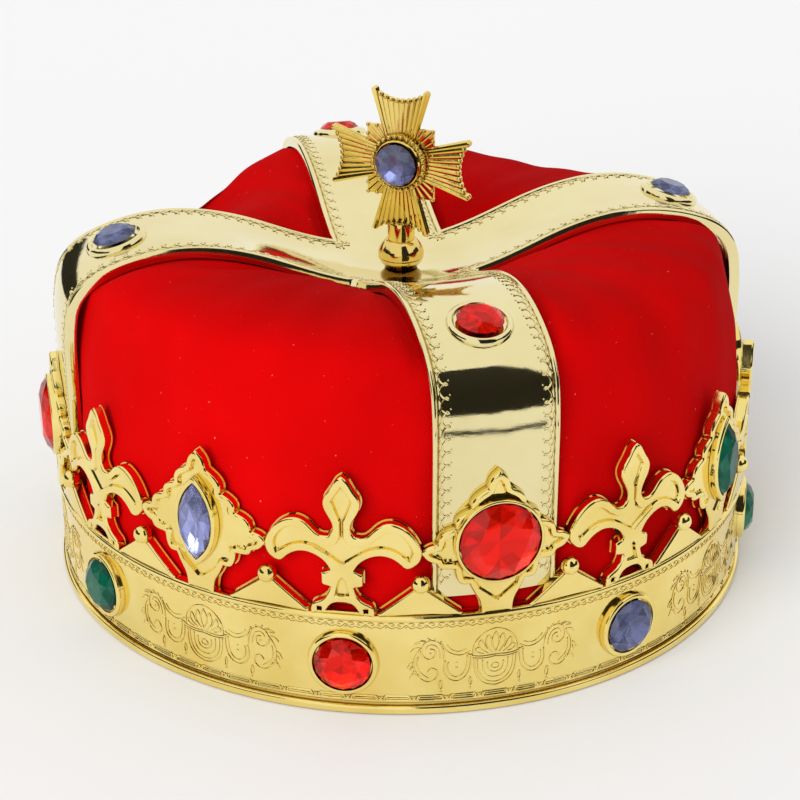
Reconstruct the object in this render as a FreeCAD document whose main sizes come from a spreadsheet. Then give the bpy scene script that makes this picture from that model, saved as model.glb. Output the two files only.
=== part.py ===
import FreeCAD, Part
import math
import os

from FreeCAD import Placement, Rotation, Vector

# A costume king's crown: a moulded gold band with cresting, four arches that meet in a
# dished hub, a cross on a knob, set gems and a cloth cap. Millimetres, +Z up. The origin
# is on the crown's axis at the height of the lip, and the front arch is towards -Y.

# A size is a number or a rule on the sizes above it. A rule keeps what depends on a size in its place.
SIZES = (
    # the band
    ("band_radius", 94.0),
    ("band_thickness", 2.0),
    ("band_height", 27.8),
    ("lip_stand", 1.0),
    ("lip_radius", "=band_radius + lip_stand"),
    ("lip_height", 2.4),
    ("lip_round", 0.8),
    ("groove_depth", 0.5),
    ("groove_height", 0.7),
    ("bead_height", 1.9),
    ("bead_stand", 0.9),
    # the cresting plates
    ("plate_stand", 0.8),
    ("plate_radius", "=band_radius + plate_stand"),
    ("plate_thickness", 2.2),
    ("plate_root", 0.8),
    ("recess_depth", 0.9),
    ("fleur_half_width", 18.8),
    ("fleur_height", 36.4),
    ("lozenge_half_width", 18.4),
    ("lozenge_height", 37.0),
    ("lozenge_border", 1.8),
    ("peak_half_width", 10.2),
    ("peak_height", 7.4),
    ("peak_top_half_width", 1.1),
    ("ball_radius", 2.35),
    ("ball_height", "=peak_height + 1.3"),
    ("ball_inset", 0.3),
    # the gems and their settings
    ("band_gem_radius", 7.0),
    ("band_gem_rim", 1.5),
    ("band_gem_stand", 1.7),
    ("band_gem_height", "=0.5144 * band_height"),
    ("crest_gem_radius", 9.9),
    ("crest_gem_rim", 1.2),
    ("crest_gem_lift", 19.2),
    ("marquise_width", 9.2),
    ("marquise_length", 20.2),
    ("marquise_rim", 1.3),
    ("marquise_lift", 18.7),
    ("rim_stand", 1.1),
    ("rim_root", 1.4),
    ("gem_clearance", 0.15),
    ("girdle_height", 1.6),
    ("crown_height", 2.3),
    # the arches
    ("arch_clearance", 0.1),
    ("arch_radius", "=plate_radius - plate_thickness - arch_clearance"),
    ("arch_half_width", 15.5),
    ("arch_thickness", 1.5),
    ("arch_depth", 2.6),
    ("flange_thickness", 1.2),
    ("foot_lift", 3.8),
    ("arch_foot", "=band_height + foot_lift"),
    ("spring_lift", 42.2),
    ("arch_spring", "=band_height + spring_lift"),
    ("arch_rise", 25.9),
    ("arch_top", "=arch_spring + arch_rise"),
    ("hub_drop", 16.4),
    ("hub_height", "=arch_top - hub_drop"),
    ("arch_gem_radius", 5.7),
    ("arch_gem_rim", 2.2),
    ("arch_gem_reach", "=0.8162 * arch_radius"),
    ("arch_rim_root", 1.2),
    ("peg_radius", 1.7),
    ("peg_clearance", 0.15),
    ("peg_root", 0.7),
    ("peg_pitch", 16.0),
    ("peg_lift", 10.5),
    # the finial
    ("spigot_radius", 2.0),
    ("spigot_clearance", 0.15),
    ("knob_radius", 6.2),
    ("knob_height", 8.2),
    ("knob_seat_radius", 3.9),
    ("knob_clearance", 0.05),
    ("stem_radius", 3.6),
    ("stem_height", 5.0),
    ("cross_reach", 19.5),
    ("cross_half_tip", 7.7),
    ("cross_half_root", 3.2),
    ("cross_hollow", 2.3),
    ("cross_thickness", 3.0),
    ("cross_azimuth", -37.4),
    ("cross_lift", "=cross_reach + 1.8"),
    ("ray_half_width", 9.9),
    ("ray_thickness", 2.0),
    ("rib_depth", 0.5),
    ("rib_count", 9),
    ("cross_gem_radius", 5.65),
    ("boss_radius", "=cross_gem_radius + 2.25"),
    ("boss_stand", 1.6),
    # the cap
    ("cap_clearance", 0.3),
    ("cap_radius", "=band_radius - band_thickness - cap_clearance"),
    ("cap_thickness", 1.2),
    ("cap_hem", 8.0),
    ("cap_spring", "=band_height + 18.2"),
    ("cap_drop", 5.4),
    ("strap_clearance", 0.5),
)

# Half outline of the fleur-de-lis from its tip down to its foot. The points are shares of
# the half width and of the height above the band. Each run is a smooth curve or a chain of
# straight lines, and it starts where the run before it ends.
FLEUR = (
    (
        "curve",
        ((0.0, 1.0), (0.14, 0.91), (0.235, 0.82), (0.21, 0.75), (0.13, 0.67), (0.117, 0.61), (0.17, 0.57)),
    ),
    (
        "curve",
        ((0.17, 0.57), (0.26, 0.568), (0.43, 0.64), (0.6, 0.677), (0.78, 0.643), (0.94, 0.55), (1.0, 0.465),
         (0.95, 0.385), (0.84, 0.345)),
    ),
    ("line", ((0.84, 0.345), (0.78, 0.35))),
    ("curve", ((0.78, 0.35), (0.66, 0.41), (0.5, 0.44), (0.33, 0.42), (0.2, 0.365), (0.15, 0.32))),
    ("line", ((0.15, 0.32), (0.265, 0.295), (0.265, 0.21), (0.145, 0.198))),
    ("curve", ((0.145, 0.198), (0.185, 0.14), (0.28, 0.09), (0.39, 0.055), (0.41, 0.02))),
)
FLEUR_RECESS = (
    ("line", ((0.0, 0.94), (0.12, 0.83), (0.02, 0.68), (0.02, 0.575))),
    (
        "curve",
        ((0.02, 0.575), (0.1, 0.515), (0.24, 0.51), (0.42, 0.565), (0.58, 0.62), (0.74, 0.6), (0.85, 0.53),
         (0.89, 0.46), (0.85, 0.4)),
    ),
    ("curve", ((0.85, 0.4), (0.7, 0.46), (0.52, 0.495), (0.33, 0.475), (0.17, 0.425), (0.0, 0.36))),
)
FLEUR_NECK_RECESS = (("line", ((0.0, 0.28), (0.05, 0.25), (0.1, 0.13), (0.0, 0.13))),)
FLEUR_FOOT_HOLE = (
    ("curve", ((0.0, 0.085), (0.12, 0.072), (0.2, 0.02))),
    ("line", ((0.2, 0.02), (0.0, 0.02))),
)

# Half outline of the scalloped lozenge, in shares of its half width and height.
LOZENGE = (
    ("curve", ((0.0, 1.0), (0.09, 0.95), (0.15, 0.88))),
    ("curve", ((0.15, 0.88), (0.27, 0.83), (0.34, 0.78), (0.36, 0.735))),
    ("curve", ((0.36, 0.735), (0.47, 0.7), (0.54, 0.66), (0.56, 0.62))),
    ("curve", ((0.56, 0.62), (0.67, 0.59), (0.75, 0.555), (0.79, 0.51))),
    ("curve", ((0.79, 0.51), (0.9, 0.49), (1.0, 0.455))),
    ("curve", ((1.0, 0.455), (0.9, 0.4), (0.8, 0.375))),
    ("curve", ((0.8, 0.375), (0.76, 0.355), (0.66, 0.345), (0.56, 0.33))),
    ("curve", ((0.56, 0.33), (0.53, 0.27), (0.47, 0.225), (0.37, 0.215))),
    ("curve", ((0.37, 0.215), (0.31, 0.15), (0.24, 0.09), (0.21, 0.02))),
)

# Shape of the arches from the hub to the spring of the foot, in shares of the arch radius
# and of the rise from the spring to the top. The hub is a dish below the top.
ARCH_CROWN = ((0.24, 0.52), (0.345, 0.675), (0.455, 0.845), (0.56, 0.955), (0.67, 1.0), (0.78, 0.96))
ARCH_SHOULDER = ((0.865, 0.87), (0.93, 0.745), (0.975, 0.56), (0.995, 0.29))
# Shape of the cap in the same terms, from its own spring to its own top.
CAP_CROWN = ((0.24, 0.72), (0.345, 0.81), (0.455, 0.905), (0.56, 0.972), (0.67, 1.0), (0.77, 0.975))
CAP_SHOULDER = ((0.86, 0.925), (0.92, 0.845), (0.96, 0.69), (0.985, 0.41))

# Side of the knob in shares of its radius and height: its widest point, and the swell that
# it passes below and above it.
KNOB_MIDDLE = 0.46
KNOB_SWELL = 0.86
KNOB_LOW, KNOB_HIGH = 0.2, 0.82

# Facets round a gem. The rim of a marquise gem is this much wider at the two tips.
LARGE_GEM_SIDES, SMALL_GEM_SIDES, MARQUISE_SIDES = 16, 12, 24
TIP_RIM = 1.5

# Azimuths in degrees from the front. Each eighth of the round has the same ornaments.
QUARTERS = (0.0, 90.0, 180.0, 270.0)
HALF_QUARTER = 45.0
LILIES = tuple(22.5 + 45.0 * step for step in range(8))
PEAKS = tuple(11.25 + 22.5 * step for step in range(16))
OUTWARD = Vector(0, -1, 0)
UP = Vector(0, 0, 1)
AXIS = Vector(0, 0, 0)

doc = FreeCAD.newDocument("crown")
sheet = doc.addObject("Spreadsheet::Sheet", "Sizes")
for row, (name, size) in enumerate(SIZES, start=1):
    sheet.setAlias(f"B{row}", name)
for row, (name, size) in enumerate(SIZES, start=1):
    sheet.set(f"A{row}", name)
    sheet.set(f"B{row}", str(size))
doc.recompute()


def size_of(name):
    """The value that the sheet holds under this name."""
    return float(sheet.get(name))


def run_edges(runs, side, half_width, height, floor):
    """Edges of a half outline on the right (side 1) or the left (side -1)."""
    edges = []
    for kind, shares in runs:
        points = [Vector(side * x * half_width, 0, floor + z * height) for x, z in shares]
        if kind == "curve":
            curve = Part.BSplineCurve()
            curve.interpolate(points)
            edges.append(curve.toShape())
        else:
            edges += [Part.makeLine(a, b) for a, b in zip(points, points[1:])]
    return edges


def outline_face(runs, half_width, height, floor, closed=True, root=0.0):
    """A face in the XZ plane, mirrored about the Z axis. An open one runs down to its root."""
    edges = run_edges(runs, 1, half_width, height, floor) + run_edges(runs, -1, half_width, height, floor)
    if not closed:
        last_x, last_z = runs[-1][1][-1]
        corners = [
            Vector(last_x * half_width, 0, floor + last_z * height),
            Vector(last_x * half_width, 0, floor - root),
            Vector(-last_x * half_width, 0, floor - root),
            Vector(-last_x * half_width, 0, floor + last_z * height),
        ]
        edges += [Part.makeLine(a, b) for a, b in zip(corners, corners[1:])]
    return Part.Face(Part.Wire(Part.__sortEdges__(edges)))


def outward_prism(face, start, end):
    """The solid that a face in the XZ plane sweeps between two distances from the axis."""
    moved = face.copy()
    moved.translate(OUTWARD * start)
    return moved.extrude(OUTWARD * (end - start))


def ring(inner, outer, low, high):
    """A plain ring about the crown's axis."""
    height = high - low
    return Part.makeCylinder(outer, height, UP * low).cut(Part.makeCylinder(inner, height, UP * low))


def turned(shape, azimuth):
    """A copy turned about the crown's axis, from the front towards +X."""
    copy = shape.copy()
    copy.rotate(AXIS, UP, azimuth)
    return copy


def smooth_profile(points):
    """A spline in the XZ plane through the points, level at its start on the axis."""
    curve = Part.BSplineCurve()
    curve.interpolate(Points=points, InitialTangent=Vector(1, 0, 0), FinalTangent=Vector(0, 0, -1))
    return curve


def offset_profile(curve, distance, samples=24):
    """A spline at a distance inside another, read off along its normals."""
    first, last = curve.FirstParameter, curve.LastParameter
    points = []
    for step in range(samples + 1):
        parameter = first + (last - first) * step / samples
        tangent = curve.tangent(parameter)[0]
        inward = Vector(tangent.z, 0, -tangent.x)
        points.append(curve.value(parameter) + inward * distance)
    return smooth_profile(points)


def dome(curve, foot):
    """The solid of revolution under a profile, down to a foot height."""
    top = curve.value(curve.FirstParameter)
    edge = curve.value(curve.LastParameter)
    corners = [edge, Vector(edge.x, 0, foot), Vector(0, 0, foot), top]
    lines = [Part.makeLine(a, b) for a, b in zip(corners, corners[1:])]
    return Part.Face(Part.Wire([curve.toShape()] + lines)).revolve(AXIS, UP, 360)


def cross_slab(half_width, reach, low, high):
    """Two upright slabs that cross on the axis, one along X and one along Y."""
    along_x = Part.makeBox(2 * reach, 2 * half_width, high - low, Vector(-reach, -half_width, low))
    along_y = Part.makeBox(2 * half_width, 2 * reach, high - low, Vector(-half_width, -reach, low))
    return along_x.fuse(along_y)


def add_shape(label, shape):
    """A document object that holds a shape, under the label that names its file."""
    feature = doc.addObject("Part::Feature", label)
    feature.Label = label
    feature.Shape = shape
    feature.Placement = Placement()
    return feature


def origin_plane(body, role):
    """One of a body's own origin planes or axes, found by its role."""
    return next(item for item in body.Origin.OriginFeatures if item.Role == role)


def add_sketch(body, name, role):
    """A sketch on one of the body's own origin planes."""
    sketch = body.newObject("Sketcher::SketchObject", name)
    sketch.AttachmentSupport = (origin_plane(body, role), [""])
    sketch.MapMode = "FlatFace"
    return sketch


plate_inner = size_of("plate_radius") - size_of("plate_thickness")
recess_floor = size_of("plate_radius") - size_of("recess_depth")
band_top = size_of("band_height")
crest_base = band_top - size_of("plate_root")
arch_radius = size_of("arch_radius")
rim_face = size_of("plate_radius") + size_of("rim_stand")
crest_gem_floor = rim_face - size_of("girdle_height")
band_gem_rim_face = size_of("band_radius") + size_of("band_gem_stand")
band_gem_floor = band_gem_rim_face - size_of("girdle_height")
# A cutter through the plates starts well inside them and ends well outside.
inside_plates, beyond_plates = 0.9 * plate_inner, 1.1 * plate_inner


def band_wall():
    """The plain wall: rounded lip, groove, straight face and the bead under the cresting."""
    body = doc.addObject("PartDesign::Body", "BandWall")
    sketch = add_sketch(body, "WallProfile", "XZ_Plane")
    radius = size_of("band_radius")
    inner = radius - size_of("band_thickness")
    lip = size_of("lip_radius")
    lip_round = size_of("lip_round")
    lip_top = size_of("lip_height")
    groove = radius - size_of("groove_depth")
    groove_top = lip_top + size_of("groove_height")
    bead_low = band_top - size_of("bead_height")
    bead_out = radius + size_of("bead_stand")
    bead_middle = band_top - size_of("bead_height") / 2
    turn = lip_round * (1 - math.sqrt(0.5))

    def arc(start, middle, end):
        return Part.Arc(Vector(*start, 0), Vector(*middle, 0), Vector(*end, 0))

    def line(start, end):
        return Part.LineSegment(Vector(*start, 0), Vector(*end, 0))

    pieces = (
        line((inner, 0), (lip - lip_round, 0)),
        arc((lip - lip_round, 0), (lip - turn, turn), (lip, lip_round)),
        line((lip, lip_round), (lip, lip_top - lip_round)),
        arc((lip, lip_top - lip_round), (lip - turn, lip_top - turn), (lip - lip_round, lip_top)),
        line((lip - lip_round, lip_top), (groove, lip_top)),
        line((groove, lip_top), (groove, groove_top)),
        line((groove, groove_top), (radius, groove_top)),
        line((radius, groove_top), (radius, bead_low)),
        arc((radius, bead_low), (bead_out, bead_middle), (radius, band_top)),
        line((radius, band_top), (inner, band_top)),
        line((inner, band_top), (inner, 0)),
    )
    for piece in pieces:
        sketch.addGeometry(piece, False)
    revolution = body.newObject("PartDesign::Revolution", "WallTurn")
    revolution.Profile = sketch
    revolution.ReferenceAxis = (origin_plane(body, "Z_Axis"), [""])
    revolution.Angle = 360
    body.Tip = revolution
    return body


def plate_from(face):
    """An outline cut out of the cresting's ring, so that it follows the round of the band."""
    top = face.BoundBox.ZMax + 1
    shell = ring(plate_inner, size_of("plate_radius"), crest_base, top)
    return outward_prism(face, inside_plates, beyond_plates).common(shell)


def recess_from(face):
    """The shallow pocket that an outline leaves in the front of a plate."""
    shell = ring(recess_floor, beyond_plates, crest_base, face.BoundBox.ZMax + 1)
    return outward_prism(face, inside_plates, beyond_plates).common(shell)


def fleur():
    """One fleur-de-lis with its recessed face, recessed neck and pierced foot."""
    half_width = size_of("fleur_half_width")
    height = size_of("fleur_height")
    root = size_of("plate_root")
    plate = plate_from(outline_face(FLEUR, half_width, height, band_top, closed=False, root=root))
    plate = plate.cut(recess_from(outline_face(FLEUR_RECESS, half_width, height, band_top)))
    plate = plate.cut(recess_from(outline_face(FLEUR_NECK_RECESS, half_width, height, band_top)))
    hole = outline_face(FLEUR_FOOT_HOLE, half_width, height, band_top)
    return plate.cut(outward_prism(hole, inside_plates, beyond_plates))


def pointed_oval(width, length):
    """A face in the XZ plane between two arcs that meet in points at top and bottom."""
    tip, side = Vector(0, 0, length / 2), Vector(width / 2, 0, 0)
    right = Part.Arc(tip, side, -tip).toShape()
    left = Part.Arc(-tip, -side, tip).toShape()
    return Part.Face(Part.Wire([right, left]))


def disc(radius):
    """A round face in the XZ plane."""
    return Part.Face(Part.Wire(Part.Circle(AXIS, Vector(0, -1, 0), radius).toShape()))


def setting(seat_face, rim_outline, low, floor, rim, lift):
    """A raised rim round a flat seat: the boss to add and the pocket to take out of it."""
    boss = outward_prism(rim_outline, low, rim)
    pocket = outward_prism(seat_face, floor, 1.1 * rim)
    for piece in (boss, pocket):
        piece.translate(UP * lift)
    return boss, pocket


def lozenge(seat_face, rim_outline, lift):
    """One scalloped lozenge with a raised border and a setting for its gem."""
    half_width = size_of("lozenge_half_width")
    height = size_of("lozenge_height")
    border = size_of("lozenge_border")
    root = size_of("plate_root")
    plate = plate_from(outline_face(LOZENGE, half_width, height, band_top, closed=False, root=root))
    share = 1 - border / half_width
    inner_base = band_top + lift * (1 - share)
    inner = outline_face(LOZENGE, half_width * share, height * share, inner_base, closed=False)
    pocket_floor = ring(recess_floor, beyond_plates, crest_base, band_top + height)
    plate = plate.cut(outward_prism(inner, inside_plates, beyond_plates).common(pocket_floor))
    low = size_of("plate_radius") - size_of("rim_root")
    boss, pocket = setting(seat_face, rim_outline, low, crest_gem_floor, rim_face, band_top + lift)
    return plate.fuse(boss).cut(pocket)


def arch_pegs():
    """Two pegs behind a lozenge, which go through the foot of an arch."""
    length = size_of("arch_clearance") + size_of("arch_thickness") + size_of("peg_clearance")
    root = size_of("peg_root")
    pegs = []
    for step in (0, 1):
        base = UP * (band_top + size_of("peg_lift") + step * size_of("peg_pitch"))
        start = base + OUTWARD * (plate_inner + root)
        pegs.append(Part.makeCylinder(size_of("peg_radius"), length + root, start, -OUTWARD))
    return pegs


def peak():
    """A low triangular peak between two ornaments, with a ball on its point."""
    half_width = size_of("peak_half_width")
    top_half = size_of("peak_top_half_width")
    top = band_top + size_of("peak_height")
    corners = [(-half_width, crest_base), (half_width, crest_base), (top_half, top), (-top_half, top)]
    points = [Vector(x, 0, z) for x, z in corners]
    plate = plate_from(Part.Face(Part.makePolygon(points + points[:1])))
    centre = OUTWARD * (size_of("plate_radius") - size_of("ball_inset"))
    centre += UP * (band_top + size_of("ball_height"))
    return plate.fuse(Part.makeSphere(size_of("ball_radius"), centre))


def band_setting():
    """The raised setting of one gem on the band's wall."""
    gem = size_of("band_gem_radius")
    clearance = size_of("gem_clearance")
    low = size_of("band_radius") - size_of("band_thickness") / 2
    lift = size_of("band_gem_height")
    rim_outline = disc(gem + size_of("band_gem_rim"))
    boss, pocket = setting(disc(gem + clearance), rim_outline, low, band_gem_floor, band_gem_rim_face, lift)
    return boss.cut(pocket)


def gem_seat(width, length, clearance):
    """Seat of a marquise gem, a pointed oval with room round the gem."""
    return pointed_oval(width + 2 * clearance, length + 2 * clearance)


def crown_band(wall):
    """The whole moulding: wall, cresting, settings and pegs."""
    clearance = size_of("gem_clearance")
    gem = size_of("crest_gem_radius")
    width, length = size_of("marquise_width"), size_of("marquise_length")
    rim = size_of("marquise_rim")
    round_rim = disc(gem + size_of("crest_gem_rim"))
    round_one = lozenge(disc(gem + clearance), round_rim, size_of("crest_gem_lift")).fuse(arch_pegs())
    pointed = lozenge(
        gem_seat(width, length, clearance),
        pointed_oval(width + 2 * rim, length + 2 * TIP_RIM * rim),
        size_of("marquise_lift"),
    )
    lily, point, seat = fleur(), peak(), band_setting()
    pieces = []
    for quarter in QUARTERS:
        pieces.append(turned(round_one, quarter))
        pieces.append(turned(pointed, quarter + HALF_QUARTER))
    for azimuth in LILIES:
        pieces += [turned(lily, azimuth), turned(seat, azimuth)]
    pieces += [turned(point, azimuth) for azimuth in PEAKS]
    return wall.fuse(pieces)


def arch_profile():
    """Outer line of the arches, from the hub's centre to the spring of the foot."""
    spring = size_of("arch_spring")
    rise = size_of("arch_top") - spring
    shares = ARCH_CROWN + ARCH_SHOULDER
    points = [Vector(0, 0, size_of("hub_height"))]
    points += [Vector(x * arch_radius, 0, spring + z * rise) for x, z in shares]
    points.append(Vector(arch_radius, 0, spring))
    return smooth_profile(points)


arch_line = arch_profile()


def point_on_arch(reach):
    """The point of the arches' outer line at a distance from the axis, and its normal."""
    parameter = arch_line.parameter(Vector(reach, 0, size_of("arch_top")))
    for _ in range(20):
        point = arch_line.value(parameter)
        tangent = arch_line.tangent(parameter)[0]
        step = (reach - point.x) / max(tangent.x, 0.1)
        parameter = arch_line.parameter(point + tangent * step)
    point = arch_line.value(parameter)
    tangent = arch_line.tangent(parameter)[0]
    return point, Vector(-tangent.z, 0, tangent.x)


def arch_gem_frame():
    """Where the front arch carries its gem: the point on its face and the slope there."""
    point, normal = point_on_arch(size_of("arch_gem_reach"))
    slope = math.degrees(math.atan2(normal.x, normal.z))
    return Vector(0, -point.x, point.z), slope


def arches():
    """The arches and their hub, one moulding with an edge that turns down all round."""
    thickness = size_of("arch_thickness")
    depth = size_of("arch_depth")
    half_width = size_of("arch_half_width")
    foot = size_of("arch_foot")
    top = size_of("arch_top") + 1
    flange = size_of("flange_thickness")
    outer = dome(arch_line, foot)
    under_plate = dome(offset_profile(arch_line, thickness), foot - 1)
    under_flange = dome(offset_profile(arch_line, depth), foot - 1)
    body = outer.cut(under_flange).common(cross_slab(half_width, arch_radius + 1, foot, top))
    channel = under_plate.common(cross_slab(half_width - flange, arch_radius + 1, foot - 1, top))
    body = body.cut(channel)
    gem = size_of("arch_gem_radius")
    rim = size_of("rim_stand")
    floor = rim - size_of("girdle_height") / 2
    frame, slope = arch_gem_frame()
    root = size_of("arch_rim_root")
    boss = Part.makeCylinder(gem + size_of("arch_gem_rim"), rim + root, UP * -root)
    pocket = Part.makeCylinder(gem + size_of("gem_clearance"), 2 * rim, UP * (rim - floor))
    bosses, pockets = [], []
    place = Placement(frame, Rotation(Vector(1, 0, 0), slope))
    for solid, group in ((boss, bosses), (pocket, pockets)):
        solid.Placement = place
        group += [turned(solid, quarter) for quarter in QUARTERS]
    hole_radius = size_of("peg_radius") + size_of("peg_clearance")
    for quarter in QUARTERS:
        for step in (0, 1):
            base = UP * (band_top + size_of("peg_lift") + step * size_of("peg_pitch"))
            hole = Part.makeCylinder(hole_radius, 2 * depth, base + OUTWARD * (arch_radius - depth), OUTWARD)
            pockets.append(turned(hole, quarter))
    spigot_hole = size_of("spigot_radius") + size_of("spigot_clearance")
    pockets.append(Part.makeCylinder(spigot_hole, 4 * depth, UP * (size_of("hub_height") - 2 * depth)))
    return body.fuse(bosses).cut(pockets)


def cap_profile():
    """Outer line of the cap, from the axis to the height where it turns straight down."""
    radius = size_of("cap_radius")
    spring = size_of("cap_spring")
    rise = size_of("arch_top") - size_of("cap_drop") - spring
    centre = size_of("hub_height") - size_of("cap_drop")
    shares = CAP_CROWN + CAP_SHOULDER
    points = [Vector(0, 0, centre)]
    points += [Vector(x * radius, 0, spring + z * rise) for x, z in shares]
    points.append(Vector(radius, 0, spring))
    return smooth_profile(points)


def cap():
    """The cloth cap: a thin dome, pressed in where the feet of the arches pass it."""
    line = cap_profile()
    thickness = size_of("cap_thickness")
    hem = size_of("cap_hem")
    clearance = size_of("strap_clearance")
    pressed = arch_radius - size_of("arch_depth") - clearance
    half_width = size_of("arch_half_width") + clearance
    low = band_top + clearance
    high = size_of("arch_top")
    reach = 1.2 * arch_radius

    def pressed_dome(curve, foot, radius, half, start):
        grooves = ring(radius, reach, start, high).common(cross_slab(half, reach, start, high))
        return dome(curve, foot).cut(grooves)

    outside = pressed_dome(line, hem, pressed, half_width, low)
    inner_line = offset_profile(line, thickness)
    inside = pressed_dome(inner_line, hem - 1, pressed - thickness, half_width + thickness, low - thickness)
    return outside.cut(inside)


def knob():
    """The knob under the cross, a flattened ball on a short foot, bored for the spigot."""
    body = doc.addObject("PartDesign::Body", "finial_knob")
    body.Label = "finial_knob"
    sketch = add_sketch(body, "KnobProfile", "XZ_Plane")
    radius, height = size_of("knob_radius"), size_of("knob_height")
    seat, bore = size_of("knob_seat_radius"), size_of("spigot_radius") + size_of("spigot_clearance")
    middle = KNOB_MIDDLE * height

    def line(start, end):
        return Part.LineSegment(Vector(*start, 0), Vector(*end, 0))

    def arc(start, along, end):
        return Part.Arc(Vector(*start, 0), Vector(*along, 0), Vector(*end, 0))

    swell = KNOB_SWELL * radius
    pieces = (
        line((bore, 0), (seat, 0)),
        arc((seat, 0), (swell, KNOB_LOW * height), (radius, middle)),
        arc((radius, middle), (swell, KNOB_HIGH * height), (seat, height)),
        line((seat, height), (bore, height)),
        line((bore, height), (bore, 0)),
    )
    for piece in pieces:
        sketch.addGeometry(piece, False)
    revolution = body.newObject("PartDesign::Revolution", "KnobTurn")
    revolution.Profile = sketch
    revolution.ReferenceAxis = (origin_plane(body, "Z_Axis"), [""])
    revolution.Angle = 360
    body.Tip = revolution
    body.Placement = Placement(UP * knob_base, Rotation())
    return body


# The knob stands on the dish of the hub at the radius of its own seat.
knob_base = point_on_arch(size_of("knob_seat_radius"))[0].z + size_of("knob_clearance")
stem_base = knob_base + size_of("knob_height")
cross_centre = stem_base + size_of("cross_lift")
spigot_end = size_of("hub_height") - size_of("arch_thickness")


def arm_points():
    """Outline of the cross's upper arm, from its root on the left to its root on the right."""
    reach, tip = size_of("cross_reach"), size_of("cross_half_tip")
    root, hollow = size_of("cross_half_root"), size_of("cross_hollow")
    return (-root, root), (-tip, reach), (0, reach - hollow), (tip, reach), (root, root)


def cross_plate():
    """The flared cross in the XZ plane, its arms hollowed at their ends."""
    left_root, left_tip, middle, right_tip, right_root = arm_points()
    arm = [
        Part.makeLine(Vector(*left_root, 0), Vector(*left_tip, 0)),
        Part.Arc(Vector(*left_tip, 0), Vector(*middle, 0), Vector(*right_tip, 0)).toShape(),
        Part.makeLine(Vector(*right_tip, 0), Vector(*right_root, 0)),
    ]
    edges = []
    for quarter in QUARTERS:
        for edge in arm:
            copy = edge.copy()
            copy.rotate(AXIS, UP, quarter)
            edges.append(copy)
    thickness = size_of("cross_thickness")
    face = Part.Face(Part.Wire(Part.__sortEdges__(edges)))
    plate = face.extrude(UP * thickness)
    plate.translate(UP * (-thickness / 2))
    return plate


def rib_grooves():
    """Grooves between the ribs of the cross's arms and of the square rays, on both faces."""
    reach, tip, root = size_of("cross_reach"), size_of("cross_half_tip"), size_of("cross_half_root")
    depth, count = size_of("rib_depth"), int(size_of("rib_count"))
    face = size_of("cross_thickness") / 2
    grooves = []
    for step in range(1, count):
        share = 2 * step / count - 1
        start, end = Vector(share * root, root, 0), Vector(share * tip, reach + 1, 0)
        groove = Part.makeCylinder(depth, start.distanceToPoint(end), start, end - start)
        grooves += [groove.translated(UP * face), groove.translated(UP * -face)]
    arms = []
    for quarter in QUARTERS:
        arms += [turned(groove, quarter) for groove in grooves]
    return arms


def finial_cross():
    """The cross with its rays, the boss for its gem, its stem and its spigot."""
    plate = cross_plate().cut(rib_grooves())
    ray = size_of("ray_half_width")
    ray_thickness = size_of("ray_thickness")
    rays = Part.makeBox(2 * ray, 2 * ray, ray_thickness, Vector(-ray, -ray, -ray_thickness / 2))
    half = size_of("cross_thickness") / 2
    boss_top = half + size_of("boss_stand")
    boss = Part.makeCylinder(size_of("boss_radius"), boss_top + half, UP * -half)
    seat_radius = size_of("cross_gem_radius") + size_of("gem_clearance")
    seat = Part.makeCylinder(seat_radius, boss_top, UP * (boss_top - size_of("girdle_height") / 2))
    head = plate.fuse([rays, boss]).cut(seat)
    head.Placement = Placement(UP * cross_centre, Rotation(Vector(1, 0, 0), 90))
    arm_low = cross_centre - size_of("cross_reach") + size_of("cross_hollow")
    stem_radius = size_of("stem_radius")
    stem_top = arm_low + size_of("stem_height")
    stem = Part.makeCylinder(stem_radius, stem_top - stem_base, UP * stem_base)
    slot = 2 * stem_radius
    trim = Part.makeBox(2 * slot, 2 * slot, 2 * slot, Vector(-slot, size_of("cross_thickness") / 2, arm_low))
    spigot = Part.makeCylinder(size_of("spigot_radius"), stem_base + 1 - spigot_end, UP * spigot_end)
    front = trim.mirror(AXIS, Vector(0, 1, 0))
    return head.fuse([stem.cut([trim, front]), spigot])


def gem_ring(name, sides, radius_rule, height_rule):
    """One facet ring of a gem, bound to the sheet."""
    polygon = doc.addObject("Part::RegularPolygon", name)
    polygon.Polygon = sides
    polygon.setExpression("Circumradius", radius_rule)
    polygon.setExpression("Placement.Base.z", height_rule)
    return polygon


# Share of the gem's radius and of its crown's height at each ring of facets.
GEM_RINGS = ((1.0, 0.0), (0.8, 0.62), (0.46, 1.0))


def faceted(name, sides, radius_rule, place=None):
    """A cut gem: a flat back, an upright girdle and two rings of facets round a flat table."""
    rings = [gem_ring(name + "_back", sides, radius_rule, "0 mm")]
    for number, (share, rise) in enumerate(GEM_RINGS):
        height_rule = f"Sizes.girdle_height + {rise} * Sizes.crown_height"
        rings.append(gem_ring(f"{name}_ring{number}", sides, f"({radius_rule}) * {share}", height_rule))
    loft = doc.addObject("Part::Loft", name)
    loft.Sections = rings
    loft.Solid = True
    loft.Ruled = True
    loft.Label = name
    if place is not None:
        loft.Placement = place
    return loft


def facing(azimuth, distance, height):
    """The place of a gem whose back is turned to the axis, at an azimuth from the front."""
    turn = Rotation(UP, azimuth)
    outward = turn.multVec(OUTWARD)
    return Placement(outward * distance + UP * height, turn * Rotation(Vector(1, 0, 0), 90))


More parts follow.
